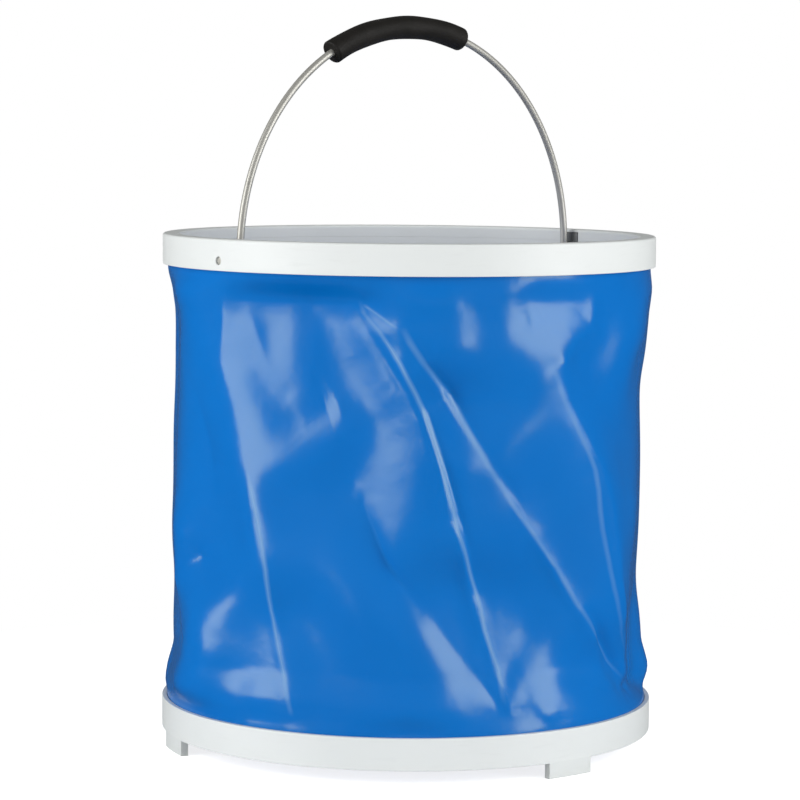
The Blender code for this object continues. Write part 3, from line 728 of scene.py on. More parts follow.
# %% The soft form of the photographed side
SOFT_START = 180.0
SOFT_STEP = 7.5
SOFT_FORM = np.array([
    [2.7, -2, -1.6, -0.9, -1.3, -0.5, 0, -0.6, -1, -1.4, -1.8, -2.1, -2.4, -2.1, -0.6, -1.5],
    [4.1, -5, -1.8, -1.7, -3.1, -0.7, 0, -1.4, -1.9, -2.5, -3.1, -3.7, -4.1, -4.6, -0.8, -2.2],
    [3.9, -2.4, -0.1, -0.4, -0.7, -1.3, 0.4, 0.9, -0.2, -0.7, -1.5, -1.5, -1.6, -2.7, -0.8, 0.7],
    [2.3, 3.1, 1.9, 0.3, 3.7, 6.6, 7.3, 5.2, 1.3, -0.2, -0.4, 1.1, 1.3, 1.3, 4, 7.3],
    [-0.1, 7.9, 9.4, 6.7, 4.7, 1.7, 1.2, 2.2, -0.1, -1.6, -1.4, 0, 1.9, 3.2, 4.9, 6.5],
    [-1.8, 5.2, 11.3, 7.9, 2.4, -3.9, -3.6, -1.7, -2, -2.5, -1.6, -0.5, 0.9, -1.6, -1.3, 2.4],
    [-0.2, -2.3, 0.3, -0.5, 1.8, -0.9, -4.4, -2.5, -0.5, -0.5, -2.1, -1.8, -3.4, -3.8, -5.1, -3.7],
    [0.5, -0.1, -2.2, -3.2, -4, 0.5, 1.3, 2.6, 0.2, -3.4, -4.5, -8.5, -8.3, -9.6, -9.3, -8.1],
    [-4.9, 0.1, -1, -3.1, -6.8, -0.9, -0.3, -4.3, -7, -3.7, -10.7, -9, -9.6, -9.8, -10.9, -11.3],
    [-5.1, -2.4, -4.4, -6.1, -6.2, -2.5, -2.4, -6.8, -8.9, -6.1, -9.7, -11.4, -12.3, -12.3, -12.7, -11.2],
    [-2.5, -2.2, -3.6, -2.8, -0.5, 0.6, -1.7, -6.4, -10.1, -10.3, -7.6, -11.4, -11.2, -10.9, -9.7, -7.3],
    [-0.3, -0.5, 0.3, 3, 5.6, 2.9, -1.9, -4.6, -5.6, -6.3, -8.5, -7, -6.5, -4.5, -2.6, 0.4],
    [4.1, 4.7, 4.7, 6.2, 5.5, 0.8, 3.3, 2.3, 1.3, 0.2, 0.6, 0.5, 1.2, 3.9, 3.9, 5.9],
    [2.2, 1.1, 2.2, 0.1, -4, -5.1, 5.3, 10.9, 8.9, 8.7, 3.5, -2.2, 4.6, 7.9, 7.1, 5.8],
    [-4.8, -2.8, -3.1, -8.1, -9.7, -9.2, 0.6, 3.1, 2.6, 5.6, 2, -2.6, 3.1, 1.8, 0.5, 2.8],
    [-6.4, -3.5, -7.4, -7.2, -7.7, -8.5, -1.1, 2.4, 3.4, 3.6, 3.9, -0.2, 1.8, 2.7, 1.7, 1.2],
    [-6.8, -2.4, -5.3, -9.1, -10.3, -6.6, -1.8, -1.7, -2.2, 1.1, 3.6, 3.4, 5.5, -0.6, -0.8, -1.7],
    [-4.8, -2.3, -4, -4.6, -4.2, -4.4, -3.2, -1.6, 0.8, 2.4, 4.6, 5.8, 2.6, -0.1, -1.9, -0.8],
    [-2.1, -2.8, -6.9, -0.8, -0.4, 0.1, 1.6, 2.9, 4, 6, 5.7, 1.5, -3.2, -1.5, -0.4, -1.2],
    [-3.8, -4.6, -4.5, 1.5, 4.6, 5.8, 5.8, 5, 5.2, 2.9, 0.7, 1.3, 0.2, -1.1, 0, -1.2],
    [-8, -5.4, -2.3, 2.5, 5.3, 4, 3.6, 3, 1.4, -0.7, -1.4, 1.7, 5.8, 6.5, 2.4, -0.2],
    [-11.9, -6.7, -3.8, -1.6, 0.1, 0.3, 2, 2.6, -0.3, -2.3, -2, -0.4, 0.8, 7, 4.6, 2.4],
    [-13.9, -8.3, -5.2, -6.1, -3.3, -2.5, -1.8, -0.5, -1.4, -2.5, -2.3, -1.7, 0.1, 3.3, 3.3, 4.1],
    [-14.8, -8.9, -6.9, -7.9, -5, -3.6, -3.4, -3, -2.3, -2.2, -2.9, -3.4, 0.3, 0.9, 2.5, 2.5],
    [-13.6, -8.1, -5.7, -5.6, -4.7, -3.1, -1.7, -1.7, -2.2, -2.5, -2.8, -2.5, 0.2, 2.1, 2.7, 2],
])
MID_RADIUS_MM = 126.95
FOLD_LOW, FOLD_HIGH = BASE_TOP / MM, RIM_BOTTOM / MM
SOFT_RISE = (FOLD_HIGH - FOLD_LOW) / (SOFT_FORM.shape[1] - 1)
PADDED_FORM = np.pad(SOFT_FORM, 2)


def spline_weight(away):
    """How much a grid point this many steps away counts."""
    away = np.abs(away)
    close = 2 / 3 - away ** 2 + away ** 3 / 2
    far = (2 - away) ** 3 / 6
    return np.where(away < 1, close, np.where(away < 2, far, 0.0))


def soft_depth(azimuth, height):
    """The soft form at arrays of azimuths and heights."""
    column = np.clip((azimuth - SOFT_START) / SOFT_STEP, -1.0, SOFT_FORM.shape[0])
    row = np.clip((height - FOLD_LOW) / SOFT_RISE, 0.0, SOFT_FORM.shape[1] - 1)
    depth = np.zeros(azimuth.shape)
    for side in (-1, 0, 1, 2):
        for up in (-1, 0, 1, 2):
            near_column = np.floor(column).astype(int) + side
            near_row = np.floor(row).astype(int) + up
            weight = spline_weight(column - near_column) * spline_weight(row - near_row)
            inside = (near_column >= -2) & (near_column < SOFT_FORM.shape[0] + 2)
            near_column = np.clip(near_column, -2, SOFT_FORM.shape[0] + 1)
            depth += weight * inside * PADDED_FORM[near_column + 2, near_row + 2]
    return depth


print("grid of", SOFT_FORM.shape, "places")

# %% [markdown]
# The second part is the sharp creases. Each one is a path over the wall: azimuth in degrees,
# height and depth in millimetres. A crease falls away from its path on both sides, steeply at
# first, with one reach to its left and another to its right. The paths follow lines seen in the
# photograph, and the same fitting script set their depths together with the soft form.

# %% The creases of the photographed side
# reach to the left and to the right in mm, then azimuth, height, depth
CREASES = {
    "left ridge": (14, 9, [(222.3, 247.1, 1.9), (221.3, 229.3, 2.2), (220.5, 208, 0.9),
        (226.7, 175.5, 0.5), (231.9, 128.9, 0.6), (236.4, 90.3, 2.5), (241.1, 49.3, 0.1),
        (243.3, 28.9, -0.4)]),
    "foot of the left ridge": (6, 6, [(234.4, 78.8, -0.3), (237.3, 59.1, -0.5), (240.6, 39.5, -0.3),
        (242.5, 30.8, 0.7)]),
    "hook": (7, 8, [(224.8, 243.8, -0.2), (229.5, 224.2, 0.8), (232.9, 206.6, 0.3), (238.1, 192.7, -0.3),
        (242.6, 181.7, 0.7)]),
    "end of the hook": (8, 8, [(242.6, 181.7, -0.9), (249, 184.4, -1), (252.6, 187.7, 0.3),
        (254.5, 193.8, 0)]),
    "ridge past the hook": (10, 8, [(244.3, 245.5, -0.4), (245.6, 225.8, 0.2), (244.9, 205.9, 0.5),
        (244.4, 185.9, 0)]),
    "middle ridge": (12, 6, [(257.6, 248.2, -0.5), (259.2, 232.5, 1.1), (265, 215, 0.9),
        (269.6, 201.3, 0.8), (273.7, 183.6, 3.2), (277.5, 159.3, 2.1), (281, 132.9, -0.2),
        (283.4, 114.8, -0.5), (286.9, 89.6, 1.8), (290.2, 64.1, 1.3), (293.6, 31.9, -1.9)]),
    "pinch at the rim": (6, 6, [(259.7, 239.9, -2.1), (263.8, 232.7, -0.7), (267.2, 226.9, 0.7),
        (266.6, 219, 0)]),
    "long valley": (10, 12, [(269, 227.4, -0.1), (273.6, 209.3, 4.7), (279.4, 194.4, -2.4),
        (283.1, 179.5, -0.8), (288.7, 160.4, -1.1), (292.9, 147.6, -0.8), (300.1, 125.3, -0.3),
        (307.4, 106, 0.8), (314.3, 85.3, 0.5), (321.9, 66.4, 0), (330, 48.4, -0.6),
        (338.6, 34.4, -1.1)]),
    "low valley": (14, 8, [(251.9, 171.7, 0.8), (257.7, 144.8, -1.3), (265.4, 110.4, -2.1),
        (274.1, 86.6, -3.6), (279.9, 69.5, -2.2), (285.9, 54, -2.2), (292.5, 37.6, 0)]),
    "right ridge": (10, 14, [(306, 210.9, 0.8), (310.4, 191.4, -0.5), (314.5, 172.7, 0),
        (320.2, 155, 1.4), (322.4, 132.6, 2.9), (324.4, 112.7, 2.8), (328.4, 90, 0.8),
        (333.1, 71.5, 0.7), (336.9, 43, 3.7)]),
    "head of the right ridge": (8, 8, [(306.3, 211.4, 3.1), (310.8, 220, 2.6), (316.8, 227, 2.2),
        (317.8, 238, 1.4)]),
    "rim wrinkle": (5, 5, [(278.2, 247.2, 0.5), (281.9, 240.8, -0.4), (286.2, 235.3, -0.2),
        (290.9, 242.1, -0.3), (295.7, 247.8, 0.4)]),
    "first gather at the rim": (4, 4, [(295.7, 247.8, 0.6), (296.2, 241.4, -0.1), (297.3, 232.4, -0.8)]),
    "second gather at the rim": (5, 5, [(295.7, 247.8, -0.6), (298.3, 239.8, 0), (298.9, 230.3, 1)]),
    "leaf, upper edge": (7, 7, [(203.7, 45, -0.1), (207.5, 61, -0.7), (213.2, 75.8, 0.7),
        (224.1, 90.6, -0.3)]),
    "leaf, lower edge": (7, 7, [(207.5, 39, 0.4), (214.7, 55.5, -1.4), (221.2, 72.9, 0.1),
        (224.8, 89.8, 0)]),
    "dent at the left": (6, 6, [(196.7, 124.7, -0.4), (206.2, 115.3, 1.3), (211.7, 105.9, -2.5),
        (202.1, 91.7, 1.0)]),
    "pucker at the base": (6, 6, [(293.3, 33.4, 1.2), (294, 46.5, -0.5), (296, 57.3, -0.4),
        (300.8, 66.6, 0)]),
    "pucker, right edge": (6, 6, [(293.6, 35.4, 0.5), (297.1, 46, 0.4), (300.8, 58.5, 0.1),
        (301.3, 65.5, 0)]),
    "hook at the base": (5, 5, [(299.3, 43.6, -0.4), (301.5, 36, 0.4), (305, 30.2, 2.2)]),
    "far left line": (8, 8, [(201, 212.7, 0.4), (210, 185.9, -0.6), (214.4, 161.1, -1.7),
        (217.5, 141.2, -0.1)]),
    "line along the base ring": (5, 5, [(232.1, 27.8, -3.4), (239.6, 28.1, -0.1), (246.4, 28, -1.7),
        (253.8, 25.7, -4.5)]),
    "middle ridge, left line": (3, 3, [(256.9, 247.2, 0.1), (258.1, 232.5, -0.5), (263.9, 215, -1.2),
        (268, 202.3, -1.7), (272.6, 183.6, 2.3), (276.3, 159.3, 1.4), (279.9, 132.9, -0.4),
        (282.3, 114.9, 3.5), (285.7, 89.7, 1.2), (288.9, 64.3, -0.3), (291.8, 38.7, 0.4)]),
    "middle ridge, right line": (3, 3, [(258.7, 247.3, 1.8), (259.9, 232.6, -0.6), (265.7, 215, 0.1),
        (269.8, 202.3, 1.6), (274.4, 183.6, -1.8), (278.1, 159.3, -3.6), (281.7, 132.9, -2.1),
        (284.1, 114.8, -1), (287.6, 89.5, -0.2), (290.9, 64, -0.2), (293.8, 38.4, 0.9)]),
    "long valley, left line": (3, 3, [(267.9, 226.4, -0.2), (272.5, 209.3, -1.1), (278.2, 194.5, 1.1),
        (282, 179.5, 0.2), (287.5, 160.4, 0), (291.7, 147.7, 0.1), (298.8, 125.5, 0.7), (305.9, 106.3, 1.9),
        (312.6, 85.6, 0.8), (319.9, 67, 1.7), (327.5, 49.2, -1.1), (333.7, 37.8, -1)]),
    "long valley, right line": (3, 3, [(269.9, 226.5, 0.3), (274.5, 209.3, -3.7), (280.3, 194.4, -2.4),
        (284.1, 179.5, -1), (289.7, 160.3, 0), (294, 147.5, -0.7), (301.2, 125.1, 0.3), (308.6, 105.8, -0.1),
        (315.6, 85, 0.1), (323.6, 65.9, -3.9), (332.3, 47.7, -2.6), (340.3, 35.4, -1.7)]),
    "right ridge, thin line": (3, 3, [(308.2, 194.1, 0.4), (313.5, 172.8, 0.3), (319, 155.2, 0.7),
        (321.2, 132.9, -0.9), (323.1, 113, -1.1), (326.9, 90.4, 1.9), (331.3, 72, 1)]),
    "left ridge, thin line": (3, 3, [(230.6, 150.9, 0.4), (232.5, 129, 0), (235.2, 111.3, 0.3),
        (236.9, 90.4, 0.9), (239.5, 70.2, -0.2), (241.7, 49.4, 0.1), (243.3, 33, 0.2)]),
    "low valley, thin line": (3, 3, [(257.7, 144.8, 0.7), (265.4, 110.4, -2.5), (274.1, 86.6, 1),
        (279.9, 69.5, 0.1), (285.9, 54, 0.5), (292, 39.7, -1.4)]),
}
CREST_ROUND = 1.4


def turn_between(first, second):
    """The angle from the second azimuth to the first, from -180 to 180 degrees."""
    return (first - second + 180.0) % 360.0 - 180.0


def crease_depth(left, right, path, azimuth, height):
    """The depth of one crease at arrays of azimuths and heights."""
    start = path[0][0]
    to_mm = math.radians(1.0) * MID_RADIUS_MM
    x = turn_between(azimuth, start) * to_mm
    best = np.full(x.shape, 1e9)
    depth = np.zeros(x.shape)
    for (az_0, z_0, depth_0), (az_1, z_1, depth_1) in zip(path, path[1:]):
        x_0, x_1 = turn_between(az_0, start) * to_mm, turn_between(az_1, start) * to_mm
        run, rise = x_1 - x_0, z_1 - z_0
        share = np.clip(((x - x_0) * run + (height - z_0) * rise) / (run ** 2 + rise ** 2), 0.0, 1.0)
        away_x, away_z = x - x_0 - share * run, height - z_0 - share * rise
        away = np.hypot(away_x, away_z)
        reach = np.where(run * away_z - rise * away_x >= 0.0, right, left)
        fall = np.exp(-(np.hypot(away, CREST_ROUND) - CREST_ROUND) / reach)
        nearer = away < best
        best = np.where(nearer, away, best)
        depth = np.where(nearer, (depth_0 + (depth_1 - depth_0) * share) * fall, depth)
    return depth


print(len(CREASES), "creases on the photographed side")

# %% [markdown]
# ## The wall between its rings
# Seen from the side the wall leaves the rim almost flush, is a little narrower in the middle,
# and swells over the base ring, where the slack of the sheet ends up. The far side isn't in the
# photograph. It gets the same folds upside down, which keeps the way in which they lean, and the
# two halves run into each other at the sides. The weld of the sleeve is a strip at the back that
# stands out a little.

# %% How far out each point of the wall stands
# height share, how far out in mm
PROFILE = [(0.0, 0.0), (0.035, 1.9), (0.07, 1.2), (0.12, -1.6), (0.30, -2.2), (0.55, -2.0),
           (0.80, -2.2), (0.90, -2.2), (0.97, -1.0), (1.0, 0.0)]
FRONT_AZIMUTH = 270.0
SIDE_BLEND = 8.0
HELD_SHARE = 0.06
WELD_AZIMUTH = 95.0
WELD_OVERLAP = 12.0 * MM
WELD_RISE = 0.6


def smooth(value):
    """An S-shaped step from 0 to 1."""
    value = np.clip(value, 0.0, 1.0)
    return value * value * (3.0 - 2.0 * value)


def front_depth(azimuth, height):
    depth = soft_depth(azimuth, height)
    for left, right, path in CREASES.values():
        depth += crease_depth(left, right, path, azimuth, height)
    return depth


def wall_depth(azimuth, height):
    """How far out the wall stands at arrays of azimuths in degrees and heights, in mm."""
    share = (height - FOLD_LOW) / (FOLD_HIGH - FOLD_LOW)
    from_front = np.abs(turn_between(azimuth, FRONT_AZIMUTH))
    front = 1.0 - smooth((from_front - 90.0 + SIDE_BLEND) / (2 * SIDE_BLEND))
    seen = FRONT_AZIMUTH + turn_between(azimuth, FRONT_AZIMUTH)
    flipped = FRONT_AZIMUTH + turn_between(-azimuth, FRONT_AZIMUTH)
    folds = front * front_depth(seen, height)
    folds += (1.0 - front) * front_depth(flipped, FOLD_LOW + FOLD_HIGH - height)
    from_weld = np.abs(turn_between(azimuth, WELD_AZIMUTH)) * math.radians(1.0) * WALL_RADIUS
    folds += WELD_RISE * (1.0 - smooth((from_weld - WELD_OVERLAP / 2) / MM + 0.5))
    folds += np.interp(share, *zip(*PROFILE))
    return folds * smooth(np.minimum(share, 1.0 - share) / HELD_SHARE)


print("the wall stands", round((RIM_BOTTOM - BASE_TOP) / MM, 1), "mm between its rings")

# %% [markdown]
# ## Building the sleeve
# The sheet's path runs from the hem in the rim's channel, down the wall, to the hem in the base
# ring's channel. It is spun round the Z axis, then each point is turned a little further the
# lower it is, so that the grid of the mesh leans as the folds do and follows them smoothly. The
# columns are drawn together on the photographed side, where the finest creases are.

# %% Wall outline and spin
WALL_COLUMNS = 460
WALL_ROWS = 88
CHANNEL_ROWS = 3
HEM_STEPS = 4
LEAN = 37.0
DRAWN_TOGETHER = math.degrees(0.45)
rim_cord_low, rim_cord_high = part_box("rim_hem_cord")
base_cord_low, base_cord_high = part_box("base_hem_cord")
HEM_RADIUS = 1.65 * MM
HEM_CENTRE = WALL_RADIUS - HEM_RADIUS
rim_hem_height = (rim_cord_low.z + rim_cord_high.z) / 2
base_hem_height = (base_cord_low.z + base_cord_high.z) / 2


def run_of(start, end, steps):
    """Points on a straight run, without its last one."""
    return [Vector(start).lerp(Vector(end), step / steps) for step in range(steps)]


def hem(centre, start, end):
    """Points round one hem's cord."""
    turns = [start + (end - start) * step / HEM_STEPS for step in range(HEM_STEPS + 1)]
    return [Vector((HEM_CENTRE + HEM_RADIUS * math.cos(turn), 0.0,
                    centre + HEM_RADIUS * math.sin(turn))) for turn in turns]


outline = [Vector((HEM_CENTRE - HEM_RADIUS, 0.0, RIM_CHANNEL_END))]
outline += hem(rim_hem_height, math.pi, 0.0)
outline += run_of((WALL_RADIUS, 0.0, rim_hem_height), (WALL_RADIUS, 0.0, RIM_BOTTOM), CHANNEL_ROWS)[1:]
outline += run_of((WALL_RADIUS, 0.0, RIM_BOTTOM), (WALL_RADIUS, 0.0, BASE_TOP), WALL_ROWS)
outline += run_of((WALL_RADIUS, 0.0, BASE_TOP), (WALL_RADIUS, 0.0, base_hem_height), CHANNEL_ROWS)
outline += hem(base_hem_height, 0.0, -math.pi)
outline.append(Vector((HEM_CENTRE - HEM_RADIUS, 0.0, BASE_CHANNEL_END)))
bm = bmesh.new()
verts = [bm.verts.new(place) for place in outline]
edges = [bm.edges.new(pair) for pair in zip(verts, verts[1:])]
bmesh.ops.spin(bm, geom=verts + edges, axis=(0, 0, 1), angle=math.tau,
               steps=WALL_COLUMNS, use_merge=True)
bmesh.ops.recalc_face_normals(bm, faces=bm.faces)
print("sleeve of", len(bm.verts), "points")

# %% Shape the sleeve
places = np.array([vert.co for vert in bm.verts])
share = np.clip((places[:, 2] - BASE_TOP) / (RIM_BOTTOM - BASE_TOP), 0.0, 1.0)
turned = np.degrees(np.arctan2(places[:, 1], places[:, 0])) + LEAN * (1.0 - share)
turned -= DRAWN_TOGETHER * np.cos(np.radians(turned))
depth = wall_depth(turned, FOLD_LOW + (FOLD_HIGH - FOLD_LOW) * share)
radius = np.hypot(places[:, 0], places[:, 1]) + depth * MM
way = np.radians(turned)
for vert, x, y in zip(bm.verts, radius * np.cos(way), radius * np.sin(way)):
    vert.co.x, vert.co.y = x, y
wall = new_piece("wall", bm, pvc_sheet)
map_sheet(wall, lambda index: (way[index] % math.tau * WALL_RADIUS, places[index, 2]))
print("folds from", round(depth.min(), 2), "to", round(depth.max(), 2), "mm")

# %% Give it thickness and let the wire through
thickened(wall, FABRIC)
cut_away(wall, [drill(WIRE_HOLE, -RING_RADIUS, RING_RADIUS)])
wall.data.shade_smooth()
wall.data.set_sharp_from_angle(angle=SMOOTH_LIMIT)
print(wall.name, len(wall.data.polygons), "faces")

# %% The wall rides on its body, and the share of its height left when collapsed is worked out
collapse = next(joint for joint in frame["joints"] if joint["name"] == "rim_collapse")
squash_left = 1.0 - collapse["range_m"][1] / (RIM_BOTTOM - BASE_TOP)
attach(wall, "wall")
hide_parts("wall_sleeve")
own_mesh(wall)

# %% [markdown]
# ## Bail wire and grip
# The bail is one wire: in through a clip along the hinge line, a tight bend, and an arch to the
# other side. A straight rod with many rings is laid along that path. The same helper bends the
# grip's sleeve, so both get a map whose first axis runs along the wire.

# %% The bail's path
BAIL_HALF_SPAN = 115.8 * MM
BAIL_RISE = 119.2 * MM
BEND_RADIUS = 3.0 * MM
TIP_SET_BACK = 0.8 * MM
TIP_RADIUS = RING_RADIUS - TIP_SET_BACK
ARCH_STEPS = 720
BEND_STEPS = 12


def arch_point(turn):
    """A point on the arch, from the right leg at 0 to the left leg at pi, in the hinge frame."""
    return Vector((BAIL_HALF_SPAN * math.cos(turn), 0.0,
                   BEND_RADIUS + (BAIL_RISE - BEND_RADIUS) * math.sin(turn)))


right_end = [Vector((TIP_RADIUS, 0.0, 0.0))]
bend_centre = Vector((BAIL_HALF_SPAN + BEND_RADIUS, 0.0, BEND_RADIUS))
for step in range(BEND_STEPS):
    turn = math.pi / 2 * step / BEND_STEPS
    right_end.append(bend_centre - Vector((math.sin(turn), 0.0, math.cos(turn))) * BEND_RADIUS)
left_end = [Vector((-place.x, 0.0, place.z)) for place in reversed(right_end)]
arch = [arch_point(math.pi * step / ARCH_STEPS) for step in range(ARCH_STEPS + 1)]
wire_path = right_end + arch + left_end
steps = [(second - first).length for first, second in zip(wire_path, wire_path[1:])]
run = np.concatenate(([0.0], np.cumsum(steps)))
path_x = np.array([place.x for place in wire_path])
path_z = np.array([place.z for place in wire_path])
WIRE_LENGTH = float(run[-1])
print("wire", round(WIRE_LENGTH, 4), "m long")


# %% Bend a straight piece along the wire
def bent_along_wire(name, bm, material, start):
    """Lay a piece that was built along X from 0 on the wire's path, from a length along it."""
    flat = [(vert.co.x, math.atan2(vert.co.z, vert.co.y)) for vert in bm.verts]
    ahead = 0.2 * MM
    for vert in bm.verts:
        length = start + vert.co.x
        first, second = max(length - ahead, 0.0), min(length + ahead, WIRE_LENGTH)
        run_x = np.interp(second, run, path_x) - np.interp(first, run, path_x)
        run_z = np.interp(second, run, path_z) - np.interp(first, run, path_z)
        forward = Vector((run_x, 0.0, run_z)).normalized()
        outward = Vector((-forward.z, 0.0, forward.x))
        middle = Vector((np.interp(length, run, path_x), 0.0, np.interp(length, run, path_z)))
        vert.co = middle + outward * vert.co.z + Vector((0.0, 1.0, 0.0)) * vert.co.y
    bmesh.ops.transform(bm, verts=bm.verts, matrix=hinge_place())
    bmesh.ops.recalc_face_normals(bm, faces=bm.faces)
    piece = new_piece(name, bm, material)
    map_sheet(piece, lambda index: (flat[index][0], (flat[index][1] % math.tau) * WIRE_DIAMETER / 2))
    return piece


print("pieces bend along", len(wire_path), "places of the wire")

# %% Bail wire
WIRE_SIDES = 24
WIRE_RINGS = 460
TIP_BEVEL = 0.4 * MM
bm = bmesh.new()
lie_down = Matrix.Translation((WIRE_LENGTH / 2, 0, 0)) @ Matrix.Rotation(math.pi / 2, 4, "Y")
bmesh.ops.create_cone(bm, cap_ends=True, segments=WIRE_SIDES, radius1=WIRE_DIAMETER / 2,
                      radius2=WIRE_DIAMETER / 2, depth=WIRE_LENGTH, matrix=lie_down)
tips = [edge for edge in bm.edges if edge.calc_length() < WIRE_LENGTH / 2]
bmesh.ops.bevel(bm, geom=tips, offset=TIP_BEVEL, segments=3, profile=0.5, affect="EDGES", material=-1)
long_edges = [edge for edge in bm.edges if edge.calc_length() > WIRE_LENGTH / 2]
bmesh.ops.subdivide_edges(bm, edges=long_edges, cuts=WIRE_RINGS, use_grid_fill=True)
bail_wire = bent_along_wire("bail", bm, bail_steel, 0.0)
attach(bail_wire, "bail")
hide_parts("bail_wire")
print(bail_wire.name, len(bail_wire.data.polygons), "faces")

# %% [markdown]
# The grip is a soft sleeve: a tube with a wall, so its section is spun round the X axis. Hands
# have pressed it, so it is a little thinner in the middle and has soft dents.

# %% Grip
GRIP_DIAMETER = 12.5 * MM
GRIP_START = math.radians(72.0)
GRIP_END = math.radians(118.6)
GRIP_RINGS = 70
GRIP_SIDES = 40
GRIP_EDGE = 1.0 * MM
GRIP_SKIN = 0.4 * GRIP_DIAMETER
GRIP_PRESSED = 0.25 * MM
GRIP_DENT = 0.12 * MM


def length_at(turn):
    """The length along the wire at an angle of the arch."""
    return float(run[len(right_end) + round(turn / math.pi * ARCH_STEPS)])


grip_length = length_at(GRIP_END) - length_at(GRIP_START)
bm = bmesh.new()
corners = [(0.0, WIRE_HOLE / 2), (0.0, GRIP_DIAMETER / 2),
           (grip_length, GRIP_DIAMETER / 2), (grip_length, WIRE_HOLE / 2)]
verts = [bm.verts.new((x, 0.0, radius)) for x, radius in corners]
edges = [bm.edges.new(pair) for pair in zip(verts, verts[1:] + verts[:1])]
bmesh.ops.spin(bm, geom=verts + edges, axis=(1, 0, 0), angle=math.tau, steps=GRIP_SIDES,
               use_merge=True)
bmesh.ops.remove_doubles(bm, verts=bm.verts, dist=MERGE)
bmesh.ops.recalc_face_normals(bm, faces=bm.faces)
rims = [edge for edge in bm.edges
        if all(math.hypot(vert.co.y, vert.co.z) > GRIP_SKIN for vert in edge.verts)
        and edge.calc_length() < grip_length / 2]
bmesh.ops.bevel(bm, geom=rims, offset=GRIP_EDGE, segments=4, profile=0.5, affect="EDGES", material=-1)
long_edges = [edge for edge in bm.edges if edge.calc_length() > grip_length / 2]
bmesh.ops.subdivide_edges(bm, edges=long_edges, cuts=GRIP_RINGS, use_grid_fill=True)
for vert in bm.verts:
    around = math.hypot(vert.co.y, vert.co.z)
    if around > GRIP_SKIN:
        share = vert.co.x / grip_length
        turn = math.atan2(vert.co.z, vert.co.y)
        press = GRIP_PRESSED * math.sin(math.pi * share) + GRIP_DENT * math.sin(19 * share + 2 * turn)
        vert.co.y *= 1.0 - press / around
        vert.co.z *= 1.0 - press / around
grip = bent_along_wire("grip", bm, grip_foam, length_at(GRIP_START))
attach(grip, "bail")
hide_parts("bail_grip")
print(grip.name, len(grip.data.polygons), "faces")

# %% [markdown]
# ## Clips
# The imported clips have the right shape, with knife-sharp edges. A moulded clip has small
# rounds, so each clip is a merged copy of its node with its sharp edges bevelled.

# %% Bail clips
CLIP_BEVEL = 0.25 * MM
CLIP_MERGE = MERGE / 10
CLIP_FLAT = math.radians(1.0)
CLIP_SHARP = math.radians(50.0)
for side in ("left", "right"):
    node = f"bail_clip_{side}"
    bm = bmesh.new()
    bm.from_mesh(frame["nodes"][node].data)
    bmesh.ops.remove_doubles(bm, verts=bm.verts, dist=CLIP_MERGE)
    bmesh.ops.dissolve_limit(bm, angle_limit=CLIP_FLAT, verts=bm.verts, edges=bm.edges)
    sharp = [edge for edge in bm.edges
             if len(edge.link_faces) == 2 and edge.calc_face_angle() > CLIP_SHARP]
    bmesh.ops.bevel(bm, geom=sharp, offset=CLIP_BEVEL, segments=2, profile=0.5, affect="EDGES",
                    material=-1, clamp_overlap=True)
    clip = new_piece(f"clip_{side}", bm, clip_plastic)
    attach(clip, "rim")
    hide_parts(node)
    print(clip.name, len(clip.data.polygons), "faces")

# %% [markdown]
# ## Floor, backdrop and light
# The bucket stands on a white floor in front of a white backdrop. The camera sees both at a
# strength of 1, so they are white without any more light on the object. Only close to the bucket
# does the floor show what falls on it, which keeps the soft shadow. Reflections see a dim room and
# a dim floor, and only the backdrop straight behind the bucket is white there, because a white
# room in the gloss would make the deep blue pale.

# %% Floor of the studio
SHADOW_INNER, SHADOW_OUTER = 0.20, 0.42
FLOOR_HALF_WIDTH = 6.0
WHITE = (1.0, 1.0, 1.0, 1.0)
WHITE_STRENGTH, GLOW_NEAR_BUCKET, FLOOR_SEEN_IN_GLOSS = 1.0, 0.80, 0.05
studio = Finish("studio_floor", Base_Color=(0.95, 0.95, 0.95, 1.0), Roughness=0.8)
light_path = studio.tree.nodes.new("ShaderNodeLightPath")
camera_ray, clear_ray, glossy_ray = [
    Signal(studio, light_path.outputs[name])
    for name in ("Is Camera Ray", "Is Transmission Ray", "Is Glossy Ray")
]
seen_straight = camera_ray.math("MAXIMUM", camera_ray, clear_ray)
to_middle = studio.add("ShaderNodeVectorMath", {"operation": "LENGTH"}, {0: studio.place()}, "Value")
far_away = studio.add("ShaderNodeMapRange", sockets={
    "Value": to_middle, "From Min": SHADOW_INNER, "From Max": SHADOW_OUTER,
})
white, glow, dim = [studio.add("ShaderNodeEmission", sockets={"Color": WHITE, "Strength": strength})
                    for strength in (WHITE_STRENGTH, GLOW_NEAR_BUCKET, FLOOR_SEEN_IN_GLOSS)]
lit = Signal(studio, studio.shader.outputs["BSDF"])
near_bucket = studio.add("ShaderNodeAddShader", sockets={0: lit, 1: glow})
seen = studio.add("ShaderNodeMixShader", sockets={0: far_away, 1: near_bucket, 2: white})
reflected = studio.add("ShaderNodeMixShader", sockets={0: glossy_ray, 1: lit, 2: dim})
shown = studio.add("ShaderNodeMixShader", sockets={0: seen_straight, 1: reflected, 2: seen})
studio.tree.links.new(shown.socket, studio.tree.nodes["Material Output"].inputs["Surface"])
bm = bmesh.new()
bmesh.ops.create_grid(bm, x_segments=2, y_segments=2, size=FLOOR_HALF_WIDTH)
ground = new_piece("studio_floor", bm, studio.material)
print("made", ground.name)

# %% World
ROOM_FRONT, ROOM_BACK = 1.00, 0.25
ROOM_ABOVE = 0.40
ROOM_SEEN_IN_GLOSS = 0.06
BACKDROP_EDGE, BACKDROP_FULL = 0.990, 0.998
ROOM_SPREAD = 0.8
world = bpy.data.worlds.new("studio")
bpy.context.scene.world = world
world.use_nodes = True
nodes, links = world.node_tree.nodes, world.node_tree.links


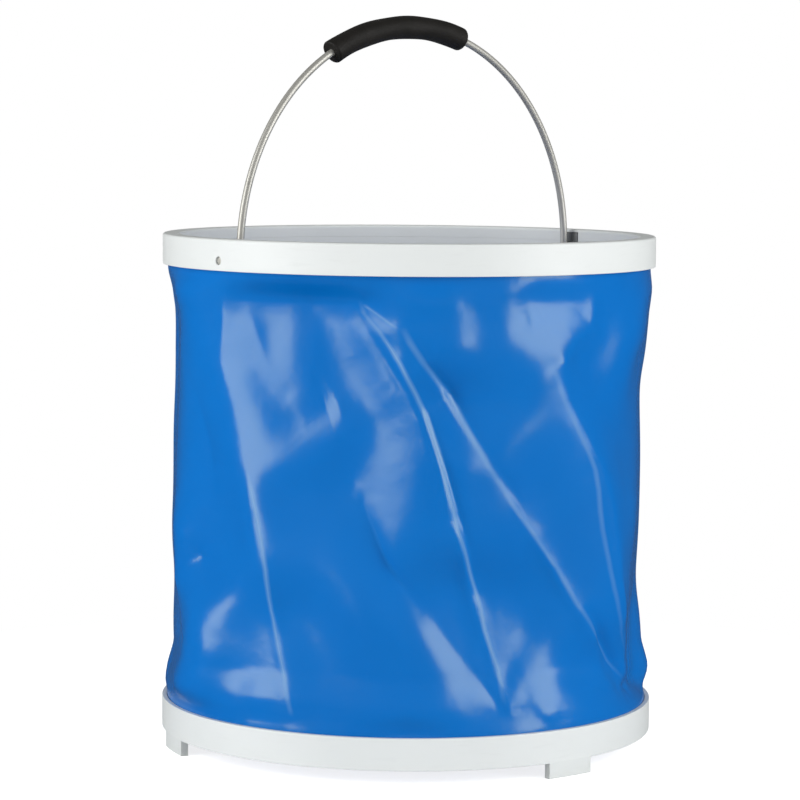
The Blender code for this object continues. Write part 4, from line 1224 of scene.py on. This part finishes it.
def world_node(kind, inputs, output=0, **settings):
    """A node of the world, with values or links in its inputs."""
    node = nodes.new(kind)
    for setting, value in settings.items():
        setattr(node, setting, value)
    for name, value in inputs.items():
        if isinstance(value, bpy.types.NodeSocket):
            links.new(value, node.inputs[name])
        else:
            node.inputs[name].default_value = value
    return node.outputs[output]


rays = nodes.new("ShaderNodeLightPath").outputs
looking = nodes.new("ShaderNodeTexCoord").outputs["Generated"]
towards_back = world_node("ShaderNodeSeparateXYZ", {"Vector": looking}, "Y")
upwards = world_node("ShaderNodeSeparateXYZ", {"Vector": looking}, "Z")
backdrop = world_node("ShaderNodeMapRange", {
    "Value": towards_back, "From Min": BACKDROP_EDGE, "From Max": BACKDROP_FULL,
})
level = world_node("ShaderNodeMapRange", {
    "Value": towards_back, "From Min": -ROOM_SPREAD, "From Max": ROOM_SPREAD,
    "To Min": ROOM_FRONT, "To Max": ROOM_BACK,
})
fading = world_node("ShaderNodeMapRange", {
    "Value": upwards, "From Min": 0.0, "From Max": ROOM_SPREAD, "To Min": 1.0, "To Max": ROOM_ABOVE,
})
room = world_node("ShaderNodeMath", {0: level, 1: fading}, operation="MULTIPLY")
gloss = world_node("ShaderNodeMapRange", {
    "Value": backdrop, "To Min": ROOM_SEEN_IN_GLOSS, "To Max": 1.0,
})
given = world_node("ShaderNodeMix", {0: rays["Is Glossy Ray"], 2: room, 3: gloss})
straight = world_node("ShaderNodeMath", {0: rays["Is Camera Ray"], 1: rays["Is Transmission Ray"]},
                      operation="MAXIMUM")
strength = world_node("ShaderNodeMix", {0: straight, 2: given, 3: 1.0})
nodes["Background"].inputs["Color"].default_value = WHITE
links.new(strength, nodes["Background"].inputs["Strength"])
print("the room gives", ROOM_FRONT, "from the front and", ROOM_BACK, "from the back")


# %% Lamps
LAMP_DISTANCE = 1.5
LAMP_BOTTOM, LAMP_TOP = 0.02, 1.45


def soft_box(name, azimuth, width, radiance):
    """An upright area lamp that faces the bucket's axis. Radiance is its own brightness."""
    out = Vector((math.cos(math.radians(azimuth)), math.sin(math.radians(azimuth)), 0.0))
    data = bpy.data.lights.new(name, "AREA")
    data.shape = "RECTANGLE"
    data.size, data.size_y = width, LAMP_TOP - LAMP_BOTTOM
    data.energy = radiance * width * (LAMP_TOP - LAMP_BOTTOM) * math.pi
    lamp = bpy.data.objects.new(name, data)
    lamp.location = out * LAMP_DISTANCE + Vector((0.0, 0.0, (LAMP_BOTTOM + LAMP_TOP) / 2))
    lamp.rotation_mode = "QUATERNION"
    lamp.rotation_quaternion = (-out).to_track_quat("-Z", "Y")
    bpy.context.scene.collection.objects.link(lamp)


soft_box("left_box", azimuth=206.0, width=0.80, radiance=4.0)
soft_box("right_box", azimuth=335.0, width=0.76, radiance=3.9)
bpy.context.scene.view_settings.view_transform = "Standard"
print("lamps:", len(bpy.data.lights))
